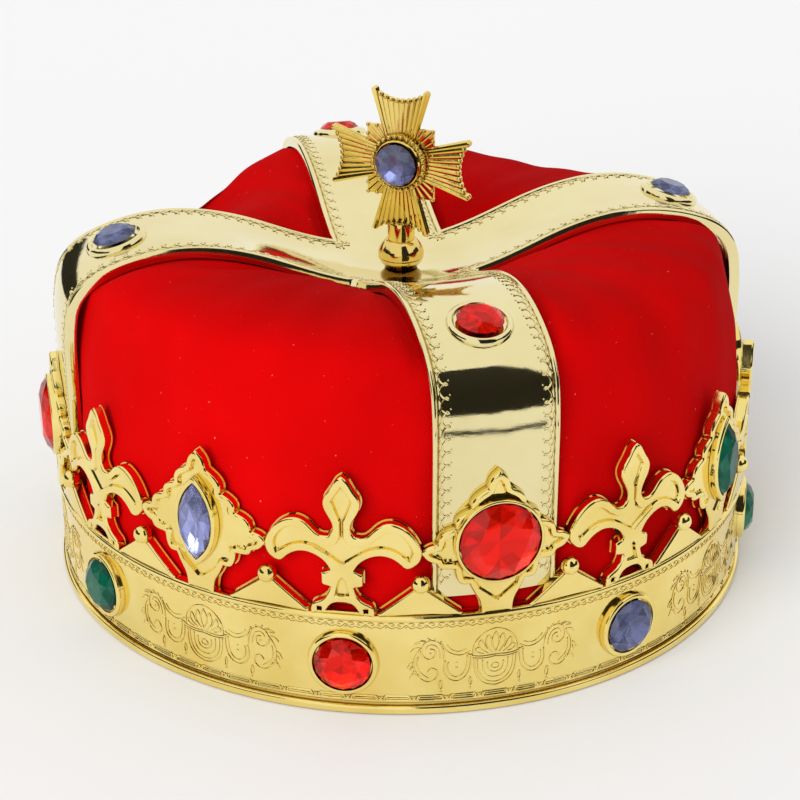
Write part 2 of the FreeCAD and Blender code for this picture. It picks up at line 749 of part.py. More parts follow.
def marquise(name, place):
    """A pointed gem: the part that two round cut gems have in common."""
    circle = "(Sizes.marquise_length ^ 2 + Sizes.marquise_width ^ 2) / (4 * Sizes.marquise_width)"
    width, length = size_of("marquise_width"), size_of("marquise_length")
    radius = (length ** 2 + width ** 2) / (4 * width)
    offset = radius - width / 2
    left = faceted(name + "_left", MARQUISE_SIDES, circle, Placement(Vector(-offset, 0, 0), Rotation()))
    right = faceted(name + "_right", MARQUISE_SIDES, circle, Placement(Vector(offset, 0, 0), Rotation()))
    common = doc.addObject("Part::Common", name)
    common.Base = left
    common.Tool = right
    common.Label = name
    common.Placement = place
    return common


def place_gems():
    """Every gem on its seat, in the order of the azimuth from the front towards the right."""
    gems = []
    lift = size_of("band_gem_height")
    for number, azimuth in enumerate(LILIES, start=1):
        place = facing(azimuth, band_gem_floor, lift)
        gems.append(faceted(f"band_gem_{number}", LARGE_GEM_SIDES, "Sizes.band_gem_radius", place))
    crest_height = band_top + size_of("crest_gem_lift")
    marquise_height = band_top + size_of("marquise_lift")
    rim, floor = size_of("rim_stand"), size_of("girdle_height") / 2
    frame, slope = arch_gem_frame()
    seat = Placement(frame, Rotation(Vector(1, 0, 0), slope)) * Placement(UP * floor, Rotation())
    for number, quarter in enumerate(QUARTERS):
        name = ("front", "right", "back", "left")[number]
        place = facing(quarter, crest_gem_floor, crest_height)
        gems.append(faceted(f"crest_gem_{name}", LARGE_GEM_SIDES, "Sizes.crest_gem_radius", place))
        place = facing(quarter + HALF_QUARTER, crest_gem_floor, marquise_height)
        gems.append(marquise(f"marquise_gem_{number + 1}", place))
        turn = Placement(Vector(), Rotation(UP, quarter))
        gems.append(faceted(f"arch_gem_{name}", SMALL_GEM_SIDES, "Sizes.arch_gem_radius", turn * seat))
    boss_top = size_of("cross_thickness") / 2 + size_of("boss_stand")
    place = facing(size_of("cross_azimuth"), boss_top - floor, cross_centre)
    gems.append(faceted("cross_gem", SMALL_GEM_SIDES, "Sizes.cross_gem_radius", place))
    return gems


wall_body = band_wall()
doc.recompute()
sub_parts = [
    add_shape("band", crown_band(wall_body.Shape)),
    add_shape("arches", arches()),
    add_shape("velvet_cap", cap()),
    knob(),
]
cross_feature = add_shape("finial_cross", finial_cross())
cross_feature.Placement = Placement(Vector(), Rotation(UP, size_of("cross_azimuth")))
sub_parts.append(cross_feature)
sub_parts += place_gems()
doc.recompute()

for item in doc.Objects:
    if "Invalid" in item.State or "Error" in item.State:
        raise RuntimeError(f"{item.Name} did not compute: {item.State}")
for item in sub_parts:
    if item.Shape.isNull() or not item.Shape.isValid():
        raise RuntimeError(f"{item.Label} has no valid shape")
    if len(item.Shape.Solids) != 1:
        raise RuntimeError(f"{item.Label} has {len(item.Shape.Solids)} solids")

os.makedirs("parts", exist_ok=True)
for item in sub_parts:
    item.Shape.exportStep(os.path.join("parts", item.Label + ".step"))
print(len(sub_parts), "sub-parts written")
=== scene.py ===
import math
import random

import bpy
import numpy as np
from mathutils import Matrix, Vector
from mathutils.geometry import delaunay_2d_cdt


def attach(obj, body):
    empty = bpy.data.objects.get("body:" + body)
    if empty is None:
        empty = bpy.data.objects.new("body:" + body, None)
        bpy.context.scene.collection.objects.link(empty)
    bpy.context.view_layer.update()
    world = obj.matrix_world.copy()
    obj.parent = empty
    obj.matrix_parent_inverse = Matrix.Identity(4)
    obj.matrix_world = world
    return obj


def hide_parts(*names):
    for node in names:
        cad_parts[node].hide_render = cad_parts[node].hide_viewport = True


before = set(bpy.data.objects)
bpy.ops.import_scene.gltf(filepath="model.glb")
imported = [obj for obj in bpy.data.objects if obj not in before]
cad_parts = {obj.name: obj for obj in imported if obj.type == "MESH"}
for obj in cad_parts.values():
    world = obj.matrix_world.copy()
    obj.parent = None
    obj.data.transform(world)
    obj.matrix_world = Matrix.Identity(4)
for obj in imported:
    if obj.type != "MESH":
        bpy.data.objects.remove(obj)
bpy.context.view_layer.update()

# Lengths are in millimetres up to add_mesh, which turns them into metres.
MM = 0.001
BAND_RADIUS = 94.0
BAND_INNER = 92.0
BAND_TOP = 27.8
LIP_RADIUS = 95.0
LIP_TOP = 2.4
PLATE_RADIUS = 94.8
PLATE_INNER = 92.6
# Plates with no arch behind them are thicker.
PLATE_DEEP_INNER = 91.9
# The thin edge that the mould left round the back of each plate.
FLASH_WIDTH, FLASH_DEPTH = 0.22, 0.3
PLATE_EDGE_ROUND = 0.6
RECESS_DEPTH = 0.9
RECESS_SLOPE = 0.45
# Distances from an edge at which a plate gets rows of points, and the grid of points between them.
PLATE_ROWS = (0.14, 0.35, PLATE_EDGE_ROUND)
RECESS_ROWS = (0.12, 0.28, RECESS_SLOPE)
PLATE_GRID = 1.25
FLEUR_HALF, FLEUR_HEIGHT = 18.8, 36.4
LOZENGE_HALF, LOZENGE_HEIGHT, LOZENGE_BORDER = 18.4, 37.0, 1.4
# Where the sides of the lozenge's recess end, and its point below them.
LOZENGE_RECESS_LOW, LOZENGE_RECESS_TIP = 6.2, 2.8
PEAK_HALF, PEAK_HEIGHT, PEAK_TOP_HALF = 10.2, 7.4, 1.1
BALL_RADIUS, BALL_HEIGHT, BALL_CENTRE = 2.35, 36.5, 94.5
ARCH_RADIUS, ARCH_HALF_WIDTH, ARCH_THICKNESS, ARCH_DEPTH = 92.5, 15.5, 1.5, 2.6
ARCH_SPRING, ARCH_TOP, ARCH_FOOT, HUB_HEIGHT = 70.0, 95.9, 31.6, 79.5
ARCH_RIM = 1.5
CAP_SPRING, CAP_HEM = 46.0, 8.0
GIRDLE, CROWN = 1.6, 2.3
CROSS_AZIMUTH, CROSS_CENTRE = -37.4, 109.17
CAMERA_AZIMUTH, CAMERA_ELEVATION, CAMERA_DISTANCE, CAMERA_HEIGHT = -14.04, 25.04, 559.64, 40.14
CAMERA_LENS = 91.07
CAMERA_SHIFT = -0.00124

# Half outlines from the tip down, in shares of the half width and of the height.
FLEUR = (
    ("curve", ((0.0, 1.0), (0.045, 0.985), (0.14, 0.91), (0.235, 0.82), (0.21, 0.75), (0.13, 0.67),
               (0.117, 0.61), (0.17, 0.57))),
    ("curve", ((0.17, 0.57), (0.26, 0.568), (0.43, 0.64), (0.6, 0.677), (0.78, 0.643), (0.94, 0.55),
               (1.0, 0.465), (0.95, 0.385), (0.84, 0.345))),
    ("line", ((0.84, 0.345), (0.78, 0.35))),
    ("curve", ((0.78, 0.35), (0.66, 0.41), (0.5, 0.44), (0.33, 0.42), (0.2, 0.365), (0.15, 0.32))),
    ("line", ((0.15, 0.32), (0.265, 0.295), (0.265, 0.21), (0.145, 0.198))),
    ("curve", ((0.145, 0.198), (0.185, 0.14), (0.28, 0.09), (0.39, 0.055), (0.41, 0.02))),
    ("line", ((0.41, 0.02), (0.41, -0.02))),
)
FLEUR_RECESS = (
    ("line", ((0.0, 0.94), (0.135, 0.83), (0.03, 0.68), (0.03, 0.575))),
    ("curve", ((0.03, 0.575), (0.1, 0.515), (0.24, 0.51), (0.42, 0.565), (0.58, 0.62), (0.74, 0.6),
               (0.85, 0.53), (0.89, 0.46), (0.85, 0.4))),
    ("curve", ((0.85, 0.4), (0.7, 0.46), (0.52, 0.495), (0.33, 0.475), (0.17, 0.425), (0.0, 0.36))),
)
FLEUR_NECK = (("line", ((0.0, 0.28), (0.05, 0.25), (0.1, 0.13), (0.0, 0.13))),)
FLEUR_FOOT = (("curve", ((0.0, 0.085), (0.12, 0.072), (0.2, 0.02))), ("line", ((0.2, 0.02), (0.0, 0.02))))
LOZENGE = (
    ("curve", ((0.0, 1.0), (0.025, 0.99), (0.1, 0.952), (0.15, 0.88))),
    ("curve", ((0.15, 0.88), (0.285, 0.837), (0.357, 0.787), (0.36, 0.735))),
    ("curve", ((0.36, 0.735), (0.483, 0.708), (0.557, 0.668), (0.56, 0.62))),
    ("curve", ((0.56, 0.62), (0.682, 0.599), (0.764, 0.563), (0.79, 0.51))),
    ("curve", ((0.79, 0.51), (0.905, 0.496), (1.0, 0.455))),
    ("curve", ((1.0, 0.455), (0.905, 0.395), (0.8, 0.375))),
    ("curve", ((0.8, 0.375), (0.768, 0.344), (0.67, 0.331), (0.56, 0.33))),
    ("curve", ((0.56, 0.33), (0.543, 0.266), (0.48, 0.218), (0.37, 0.215))),
    ("curve", ((0.37, 0.215), (0.31, 0.15), (0.24, 0.09), (0.21, 0.02))),
    ("line", ((0.21, 0.02), (0.21, -0.02))),
)
PEAK = (("line", ((0.0, 1.0), (PEAK_TOP_HALF / PEAK_HALF, 1.0), (1.0, 0.03), (1.0, -0.08))),)

# Side shape of the arches, as shares of the radius and of the rise from the spring to the top.
ARCH_SHAPE = ((0.24, 0.52), (0.345, 0.675), (0.455, 0.845), (0.56, 0.955), (0.67, 1.0), (0.78, 0.96),
              (0.865, 0.87), (0.93, 0.745), (0.975, 0.56), (0.995, 0.29))


# Curves and outlines

def spline(points, step, start=None, end=None):
    """Points at an even step along a cubic spline. A given end tangent clamps that end."""
    points = np.array(points, float)
    lengths = np.linalg.norm(np.diff(points, axis=0), axis=1)
    knots = np.concatenate([[0], np.cumsum(lengths)])
    count = len(points)
    matrix, right = np.zeros((count, count)), np.zeros(points.shape)
    for i in range(1, count - 1):
        before, after = lengths[i - 1], lengths[i]
        matrix[i, i - 1:i + 2] = before, 2 * (before + after), after
        right[i] = 6 * ((points[i + 1] - points[i]) / after - (points[i] - points[i - 1]) / before)
    matrix[0, 0] = matrix[-1, -1] = 1
    if start is not None:
        matrix[0, :2] = 2 * lengths[0], lengths[0]
        right[0] = 6 * ((points[1] - points[0]) / lengths[0] - np.array(start))
    if end is not None:
        matrix[-1, -2:] = lengths[-1], 2 * lengths[-1]
        right[-1] = 6 * (np.array(end) - (points[-1] - points[-2]) / lengths[-1])
    bends = np.linalg.solve(matrix, right)
    samples = np.linspace(0, knots[-1], max(2, int(round(knots[-1] / step)) + 1))
    piece = np.clip(np.searchsorted(knots, samples, side="right") - 1, 0, count - 2)
    width = lengths[piece][:, None]
    left = ((knots[piece + 1] - samples) / lengths[piece])[:, None]
    share = 1 - left
    curve = left * points[piece] + share * points[piece + 1]
    bent = (left ** 3 - left) * bends[piece] + (share ** 3 - share) * bends[piece + 1]
    return curve + bent * width ** 2 / 6


def outline(runs, half_width, height, step=0.55):
    """A closed loop of (x, z) points, mirrored left to right, clockwise from the top."""
    right = [np.array([[0.0, runs[0][1][0][1] * height]])]
    for kind, shares in runs:
        corners = np.array([(x * half_width, z * height) for x, z in shares])
        if kind == "curve":
            right.append(spline(corners, step)[1:])
        else:
            for a, b in zip(corners, corners[1:]):
                count = max(1, int(round(np.linalg.norm(b - a) / step)))
                right.append(np.linspace(a, b, count + 1)[1:])
    right = np.concatenate(right)
    left = right[::-1] * (-1, 1)
    loop = np.concatenate([right, left])
    apart = np.linalg.norm(loop - np.roll(loop, 1, axis=0), axis=1) > 1e-4
    return loop[apart]


def edge_distance(points, loop):
    """Distance from each point to the nearest stretch of a closed loop."""
    start, end = loop, np.roll(loop, -1, axis=0)
    along = end - start
    offset = points[:, None, :] - start[None]
    share = np.clip((offset * along).sum(2) / np.maximum((along ** 2).sum(1), 1e-12), 0, 1)
    return np.linalg.norm(offset - share[..., None] * along, axis=2).min(1)


def is_inside(points, loop):
    """Whether each point lies inside a closed loop."""
    x, y = points[:, 0][:, None], points[:, 1][:, None]
    x1, y1 = loop[:, 0][None], loop[:, 1][None]
    x2, y2 = np.roll(loop[:, 0], -1)[None], np.roll(loop[:, 1], -1)[None]
    crosses = (y1 > y) != (y2 > y)
    height = np.where(y2 == y1, 1e-9, y2 - y1)
    return (crosses & (x < (x2 - x1) * (y - y1) / height + x1)).sum(1) % 2 == 1


def inset(loop, depth):
    """The loop moved inwards, without the points that a narrow stretch leaves no room for."""
    along = np.roll(loop, -1, axis=0) - np.roll(loop, 1, axis=0)
    normal = np.stack([along[:, 1], -along[:, 0]], 1)
    normal /= np.linalg.norm(normal, axis=1)[:, None]
    area = np.sum(loop[:, 0] * np.roll(loop[:, 1], -1) - np.roll(loop[:, 0], -1) * loop[:, 1])
    moved = loop + normal * depth * (-1 if area > 0 else 1)
    keep = is_inside(moved, loop) & (edge_distance(moved, loop) > 0.96 * depth)
    return moved[keep]


def smooth_step(value):
    """0 below 0, 1 above 1 and an S between them."""
    value = np.clip(value, 0, 1)
    return value * value * (3 - 2 * value)


def bell(value, middle, width):
    """1 at the middle, and falling to nothing on both sides of it."""
    return np.exp(-((value - middle) / width) ** 2)


# Meshes

def add_object(name, data):
    """An object in the scene for a mesh, a lamp or a camera."""
    thing = bpy.data.objects.new(name, data)
    bpy.context.scene.collection.objects.link(thing)
    return thing


def add_mesh(name, points, faces, materials, sharp=35.0, slots=None):
    """A mesh object at the origin, from points in millimetres, smooth up to a sharp angle."""
    mesh = bpy.data.meshes.new(name)
    mesh.from_pydata((np.asarray(points) * MM).tolist(), [], [list(map(int, face)) for face in faces])
    mesh.validate()
    for material in materials:
        mesh.materials.append(material)
    if slots is not None:
        mesh.polygons.foreach_set("material_index", slots)
    mesh.shade_smooth()
    mesh.set_sharp_from_angle(angle=math.radians(sharp))
    mesh.update()
    return add_object(name, mesh)


def joined(parts):
    """Several (points, faces) pairs as one pair."""
    points, faces, start = [], [], 0
    for part_points, part_faces in parts:
        points.append(np.asarray(part_points, float))
        faces += [tuple(index + start for index in face) for face in part_faces]
        start += len(part_points)
    return np.concatenate(points), faces


def turned(points, azimuth):
    """Points turned about the crown's axis, from the front towards +X, by degrees."""
    cos, sin = math.cos(math.radians(azimuth)), math.sin(math.radians(azimuth))
    x, y, z = np.asarray(points, float).T
    return np.stack([x * cos - y * sin, x * sin + y * cos, z], 1)


def ring_of(part, azimuths):
    """One part repeated round the crown's axis."""
    points, faces = part
    return joined([(turned(points, azimuth), faces) for azimuth in azimuths])


def wrap(flat, radius):
    """Flat (x, z) points laid round the front of the crown at a radius or at radii of their own."""
    angle = flat[:, 0] / BAND_RADIUS
    radius = np.broadcast_to(radius, angle.shape)
    return np.stack([radius * np.sin(angle), -radius * np.cos(angle), flat[:, 1]], 1)


def grid_faces(rows, columns, closed=False):
    """Quads of a grid of points, stored row by row."""
    faces = []
    for row in range(rows - 1):
        for column in range(columns if closed else columns - 1):
            after = (column + 1) % columns
            here, above = row * columns, (row + 1) * columns
            faces.append((here + column, here + after, above + after, above + column))
    return faces


def lathe(profile, segments, closed=False):
    """A (radius, z) line turned about the Z axis, closed on itself where asked."""
    line = list(profile) + ([profile[0]] if closed else [])
    angles = np.linspace(0, 2 * math.pi, segments, endpoint=False)
    rows = [np.stack([r * np.cos(angles), r * np.sin(angles), np.full(segments, z)], 1) for r, z in line]
    return np.concatenate(rows), grid_faces(len(line), segments, closed=True)


def placed(part, matrix):
    """A part moved by a 4 by 4 matrix whose lengths are millimetres."""
    points, faces = part
    matrix = np.array(matrix)
    return np.asarray(points) @ matrix[:3, :3].T + matrix[:3, 3], faces


def facing(azimuth, distance, height, tilt=90.0):
    """The matrix that turns local +Z outwards at an azimuth from the front."""
    turn = Matrix.Rotation(math.radians(azimuth), 4, "Z")
    return turn @ Matrix.Translation((0, -distance, height)) @ Matrix.Rotation(math.radians(tilt), 4, "X")


def swept(path, radii, across, lift, sides):
    """A round bar along a path: each point has a radius and the two directions of its ring."""
    angles = np.linspace(0, 2 * math.pi, sides, endpoint=False)
    cos, sin = np.cos(angles), np.sin(angles)
    rows = [point + radius * (np.outer(cos, a) + np.outer(sin, b))
            for point, radius, a, b in zip(path, radii, across, lift)]
    faces = grid_faces(len(path), sides, closed=True)
    faces.append(tuple(range(sides))[::-1])
    faces.append(tuple(range((len(path) - 1) * sides, len(path) * sides)))
    return np.concatenate(rows), faces


def tube(path, radii):
    """A round bar along a path on the crown, with one radius or one for each point."""
    path = np.asarray(path, float)
    radii = np.broadcast_to(radii, len(path))
    along = np.gradient(path, axis=0)
    along /= np.linalg.norm(along, axis=1)[:, None]
    outward = path * (1, 1, 0)
    outward /= np.maximum(np.linalg.norm(outward, axis=1)[:, None], 1e-9)
    across = np.cross(along, outward)
    across /= np.maximum(np.linalg.norm(across, axis=1)[:, None], 1e-9)
    return swept(path, radii, across, np.cross(across, along), 6)


# Materials

def new_material(name):
    """An empty node material with its nodes and its shader."""
    material = bpy.data.materials.new(name)
    material.use_nodes = True
    nodes = material.node_tree.nodes
    return material, nodes, nodes["Principled BSDF"]


def set_inputs(node, values):
    """Values for the inputs that nothing is linked to."""
    for name, value in values.items():
        node.inputs[name].default_value = value


def add_node(nodes, kind, values=None, **settings):
    """A shader node: its settings first, because they decide which inputs it has."""
    node = nodes.new("ShaderNode" + kind)
    for name, value in settings.items():
        setattr(node, name, value)
    set_inputs(node, values or {})
    return node


def wire(source, output, target, name):
    """Links an output of one node to an input of another."""
    target.id_data.links.new(source.outputs[output], target.inputs[name])


def plain_material(name, colour, roughness):
    """One even colour, for the things of the studio."""
    material, _, shader = new_material(name)
    set_inputs(shader, {"Base Color": (*colour, 1), "Roughness": roughness})
    return material


def noise_node(nodes, scale, detail=3.0, roughness=0.5):
    """A noise texture with a scale per metre."""
    return add_node(nodes, "TexNoise", {"Scale": scale, "Detail": detail, "Roughness": roughness})


def object_space(nodes, *textures):
    """Feeds object coordinates to textures, so that they need no UV map."""
    place = add_node(nodes, "TexCoord")
    for texture in textures:
        wire(place, "Object", texture, "Vector")


def ramp_node(nodes, stops):
    """A colour ramp with its stops as (position, colour) pairs."""
    ramp = add_node(nodes, "ValToRGB")
    elements = ramp.color_ramp.elements
    while len(elements) < len(stops):
        elements.new(0.5)
    for element, (position, colour) in zip(elements, stops):
        element.position = position
        element.color = (*colour, 1)
    return ramp


def gold(name, light, deep, rough, crevice, groove_shade, ripple=0.05):
    """Vacuum-metallised plastic: a gloss metal with cloudy colour, faint ripples and fine scratches.

    Grooves as narrow as the crevice size are darkened towards their groove shade: painted shade from ambient
    occlusion."""
    material, nodes, shader = new_material(name)
    clouds = noise_node(nodes, 55.0, 4.0)
    smears = noise_node(nodes, 240.0, 5.0, 0.6)
    waves = noise_node(nodes, 130.0, 2.0)
    grit = noise_node(nodes, 2600.0, 2.0)
    object_space(nodes, clouds, smears, waves, grit)
    colours = ramp_node(nodes, ((0.3, deep), (0.62, light)))
    wire(clouds, "Fac", colours, "Fac")
    # Painted shade: ambient occlusion darkens the colour in grooves and crevices towards the groove shade.
    around = add_node(nodes, "AmbientOcclusion", {"Distance": crevice}, samples=4)
    tone = ramp_node(nodes, ((0.25, groove_shade), (0.75, (1, 1, 1))))
    wire(around, "AO", tone, "Fac")
    shade = add_node(nodes, "Mix", {"Factor": 1.0}, data_type="RGBA", blend_type="MULTIPLY")
    wire(colours, "Color", shade, "A")
    wire(tone, "Color", shade, "B")
    wire(shade, "Result", shader, "Base Color")
    span = {"From Min": 0.3, "From Max": 0.75, "To Min": rough * 0.6, "To Max": rough * 1.7}
    gloss = add_node(nodes, "MapRange", span)
    wire(smears, "Fac", gloss, "Value")
    wire(gloss, "Result", shader, "Roughness")
    broad = add_node(nodes, "Bump", {"Strength": ripple, "Distance": 0.002})
    wire(waves, "Fac", broad, "Height")
    fine = add_node(nodes, "Bump", {"Strength": 0.03, "Distance": 0.0002})
    wire(grit, "Fac", fine, "Height")
    wire(broad, "Normal", fine, "Normal")
    wire(fine, "Normal", shader, "Normal")
    set_inputs(shader, {"Metallic": 1.0})
    return material


# How far the darkest and the palest facets of a gem go from its colour: painted shade and painted highlight
# in place of the facets' reflections.
GEM_DEEP, GEM_PALE = 0.3, 0.1


def painted_facet_light(nodes, colour, noise):
    """A colour that goes from deep to pale by the painted light and shade of each facet, with a little
    cloudiness.
    """
    facet = add_node(nodes, "Attribute", attribute_name="painted_facet_light")
    total = add_node(nodes, "Math", {1: 0.12}, operation="MULTIPLY_ADD")
    wire(noise, "Fac", total, 0)
    wire(facet, "Fac", total, 2)
    deep = tuple(channel * GEM_DEEP for channel in colour)
    light = tuple(channel + (1 - channel) * GEM_PALE for channel in colour)
    tones = ramp_node(nodes, ((0.05, deep), (0.6, colour), (1.0, light)))
    wire(total, "Value", tones, "Fac")
    return tones


def gem_glass(name, colour):
    """The clear coloured body of an acrylic gem, with painted light and shade facet by facet."""
    material, nodes, shader = new_material(name)
    tint = noise_node(nodes, 90.0, 2.0)
    wear = noise_node(nodes, 700.0, 3.0)
    object_space(nodes, tint, wear)
    wire(painted_facet_light(nodes, colour, tint), "Color", shader, "Base Color")
    gloss = add_node(nodes, "MapRange", {"To Min": 0.0, "To Max": 0.07})
    wire(wear, "Fac", gloss, "Value")
    wire(gloss, "Result", shader, "Roughness")
    set_inputs(shader, {"Transmission Weight": 0.9, "IOR": 1.3})
    return material


def gem_foil(name, colour):
    """The coloured foil behind a gem, a metal with painted light and shade that differs a little from facet
    to facet.
    """
    material, nodes, shader = new_material(name)
    clouds = noise_node(nodes, 200.0, 2.0)
    object_space(nodes, clouds)
    wire(painted_facet_light(nodes, colour, clouds), "Color", shader, "Base Color")
    set_inputs(shader, {"Metallic": 0.85, "Roughness": 0.22})
    return material


def velvet(name):
    """Short-pile velvet: deep red with a faint sheen, the nap swept about, a little lint."""
    material, nodes, shader = new_material(name)
    nap = noise_node(nodes, 26.0, 3.0)
    pile = noise_node(nodes, 1500.0, 3.0, 0.7)
    lint = noise_node(nodes, 900.0, 1.0)
    object_space(nodes, nap, pile, lint)
    colours = ramp_node(nodes, ((0.3, (0.42, 0.0008, 0.001)), (0.7, (0.53, 0.001, 0.0015))))
    wire(nap, "Fac", colours, "Fac")
    specks = ramp_node(nodes, ((0.78, (0, 0, 0)), (0.84, (0.6, 0.6, 0.6))))
    wire(lint, "Fac", specks, "Fac")
    mix = add_node(nodes, "Mix", data_type="RGBA")
    set_inputs(mix, {"B": (0.85, 0.2, 0.18, 1)})
    wire(specks, "Color", mix, "Factor")
    wire(colours, "Color", mix, "A")
    wire(mix, "Result", shader, "Base Color")
    bump = add_node(nodes, "Bump", {"Strength": 0.25, "Distance": 0.0004})
    wire(pile, "Fac", bump, "Height")
    wire(bump, "Normal", shader, "Normal")
    set_inputs(shader, {"Roughness": 0.9, "Specular IOR Level": 0.03, "Sheen Weight": 0.02,
                        "Sheen Roughness": 0.4, "Sheen Tint": (1.0, 0.06, 0.05, 1)})
    return material


# Each gold's groove shade is the painted shade in its crevices.
GOLD_BAND = gold("gold_band", (0.96, 0.79, 0.29), (0.88, 0.68, 0.2), 0.09,
                 crevice=0.0011, groove_shade=(0.42, 0.3, 0.12))
GOLD_ARCH = gold("gold_arches", (0.87, 0.77, 0.42), (0.82, 0.71, 0.35), 0.06,
                 crevice=0.0006, groove_shade=(0.55, 0.47, 0.3), ripple=0.03)
GOLD_CROSS = gold("gold_finial", (0.93, 0.72, 0.22), (0.72, 0.48, 0.09), 0.08,
                  crevice=0.0017, groove_shade=(0.16, 0.09, 0.025))
# The knob's gold is a darker copy of the finial's gold: painted shade on the knob.
GOLD_KNOB = gold("gold_knob", (0.86, 0.64, 0.2), (0.6, 0.4, 0.1), 0.09,
                 crevice=0.003, groove_shade=(0.2, 0.12, 0.04))
VELVET = velvet("red_velvet")
# The colour of each gem's body, then of its foil.
GEM_COLOURS = {
    "red": ((1.0, 0.04, 0.01), (0.95, 0.09, 0.025)),
    "blue": ((0.37, 0.4, 0.6), (0.38, 0.41, 0.6)),
    # The lit blue is a paler copy of the blue: painted light on the marquise gems, which share the blue gems'
    # material.
    "lit_blue": ((0.56, 0.59, 0.85), (0.62, 0.65, 0.9)),
    "green": ((0.008, 0.3, 0.2), (0.04, 0.4, 0.28)),
}
GEM_MATERIALS = {
    name: (gem_glass("gem_" + name, body), gem_foil("foil_" + name, foil))
    for name, (body, foil) in GEM_COLOURS.items()
}


def finish_piece(piece, slot, *nodes):
    """Puts a piece on the root body and hides the nodes that it stands for; the material slot is not used."""
    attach(piece, "root")
    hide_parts(*nodes)


# The band's cresting

def triangulated(points, loop, holes, recesses):
    """Points and triangles that fill a loop but not its holes. The points start with those of every ring."""
    edges, start = [], 0
    for ring in (loop, *holes, *recesses):
        count = len(ring)
        edges += [(start + i, start + (i + 1) % count) for i in range(count)]
        start += count
    result = delaunay_2d_cdt([Vector(p) for p in points], edges, [], 0, 1e-5)
    flat = np.array([tuple(v) for v in result[0]])
    faces = np.array([face for face in result[2] if len(face) == 3])
    centres = flat[faces].mean(1)
    keep = is_inside(centres, loop)
    for hole in holes:
        keep &= ~is_inside(centres, hole)
    faces = faces[keep]
    # A face that runs clockwise seen from outside is turned round.
    spin = np.cross(flat[faces[:, 1]] - flat[faces[:, 0]], flat[faces[:, 2]] - flat[faces[:, 0]])
    return flat, np.where((spin > 0)[:, None], faces, faces[:, ::-1])


def border_of(flat, faces):
    """The edges that only one triangle has, and the way out of the plate at each point."""
    sides = {}
    for a, b, c in faces:
        sides.update({(a, b): c, (b, c): a, (c, a): b})
    border = [(a, b, c) for (a, b), c in sides.items() if (b, a) not in sides]
    outward = np.zeros(flat.shape)
    for a, b, c in border:
        along = flat[b] - flat[a]
        normal = np.array((along[1], -along[0])) / np.linalg.norm(along)
        outward[[a, b]] -= normal * np.sign(normal @ (flat[c] - flat[a]))
    outward /= np.maximum(np.linalg.norm(outward, axis=1), 1e-9)[:, None]
    return [(a, b) for a, b, _ in border], outward


def relief_plate(loop, recesses=(), holes=(), inner=PLATE_DEEP_INNER):
    """A plate round the front of the crown, its edge rounded, its recesses sloped and its back edge flashed.

    All loops are (x, z) points above the band's top."""
    points = [np.concatenate([loop, *holes, *recesses])]
    points += [inset(loop, depth) for depth in PLATE_ROWS]
    points += [hole + (hole - hole.mean(0)) * depth / 2 for hole in holes for depth in PLATE_ROWS]
    points += [inset(recess, depth) for recess in recesses for depth in RECESS_ROWS]
    low, high = loop.min(0), loop.max(0)
    xs, zs = (np.arange(low[axis], high[axis], PLATE_GRID) for axis in (0, 1))
    grid = np.stack(np.meshgrid(xs, zs), 2).reshape(-1, 2)
    # The grid keeps clear of the rows along every edge.
    far = edge_distance(grid, loop) > PLATE_EDGE_ROUND + 0.4
    for ring in (*holes, *recesses):
        far &= edge_distance(grid, ring) > 0.5
    points.append(grid[is_inside(grid, loop) & far])
    flat, faces = triangulated(np.concatenate(points), loop, holes, recesses)
    depth = edge_distance(flat, loop)
    for hole in holes:
        depth = np.minimum(depth, edge_distance(flat, hole))
    share = np.clip(1 - depth / PLATE_EDGE_ROUND, 0, 1)
    drop = PLATE_EDGE_ROUND * (1 - np.sqrt(1 - share ** 2))
    for recess in recesses:
        slope = smooth_step(edge_distance(flat, recess) / RECESS_SLOPE)
        drop = drop + np.where(is_inside(flat, recess), RECESS_DEPTH * slope, 0)
    lifted = flat + (0, BAND_TOP)
    count = len(flat)
    all_faces = [tuple(face) for face in faces] + [tuple(face[::-1] + count) for face in faces]
    border, outward = border_of(flat, faces)
    on_loop = edge_distance(flat, loop) < 0.01
    spread = lifted + outward * np.where(on_loop, FLASH_WIDTH, 0)[:, None]
    # The front, the back, the line where the plate's side meets the flash, and the flash's front edge.
    layers = [wrap(lifted, PLATE_RADIUS - drop), wrap(spread, inner),
              wrap(lifted, inner + FLASH_DEPTH), wrap(spread, inner + FLASH_DEPTH)]
    for a, b in border:
        # The outer edge goes round the flash, and the edge of a hole straight to the back.
        order = (0, 2, 3, 1) if on_loop[a] and on_loop[b] else (0, 1)
        for upper, lower in zip(order, order[1:]):
            all_faces.append((b + upper * count, b + lower * count, a + lower * count, a + upper * count))
    points = np.concatenate(layers)
    used = np.unique(np.concatenate([np.array(face) for face in all_faces]))
    index = np.zeros(len(points), int)
    index[used] = np.arange(len(used))
    return points[used], [tuple(index[list(face)]) for face in all_faces]


def square_loop(x, z, half=0.5):
    """The loop of a small square hole round a point."""
    steps = ((-1, -1), (-1, 0), (-1, 1), (0, 1), (1, 1), (1, 0), (1, -1), (0, -1))
    return np.array([(x + half * across, z + half * up) for across, up in steps])


def fleur_part():
    """One fleur-de-lis."""
    loop, leaf, neck, foot = (
        outline(runs, FLEUR_HALF, FLEUR_HEIGHT) for runs in (FLEUR, FLEUR_RECESS, FLEUR_NECK, FLEUR_FOOT)
    )
    holes = (foot, square_loop(5.6, 1.0), square_loop(-5.6, 1.0))
    return relief_plate(loop, recesses=(leaf, neck), holes=holes)


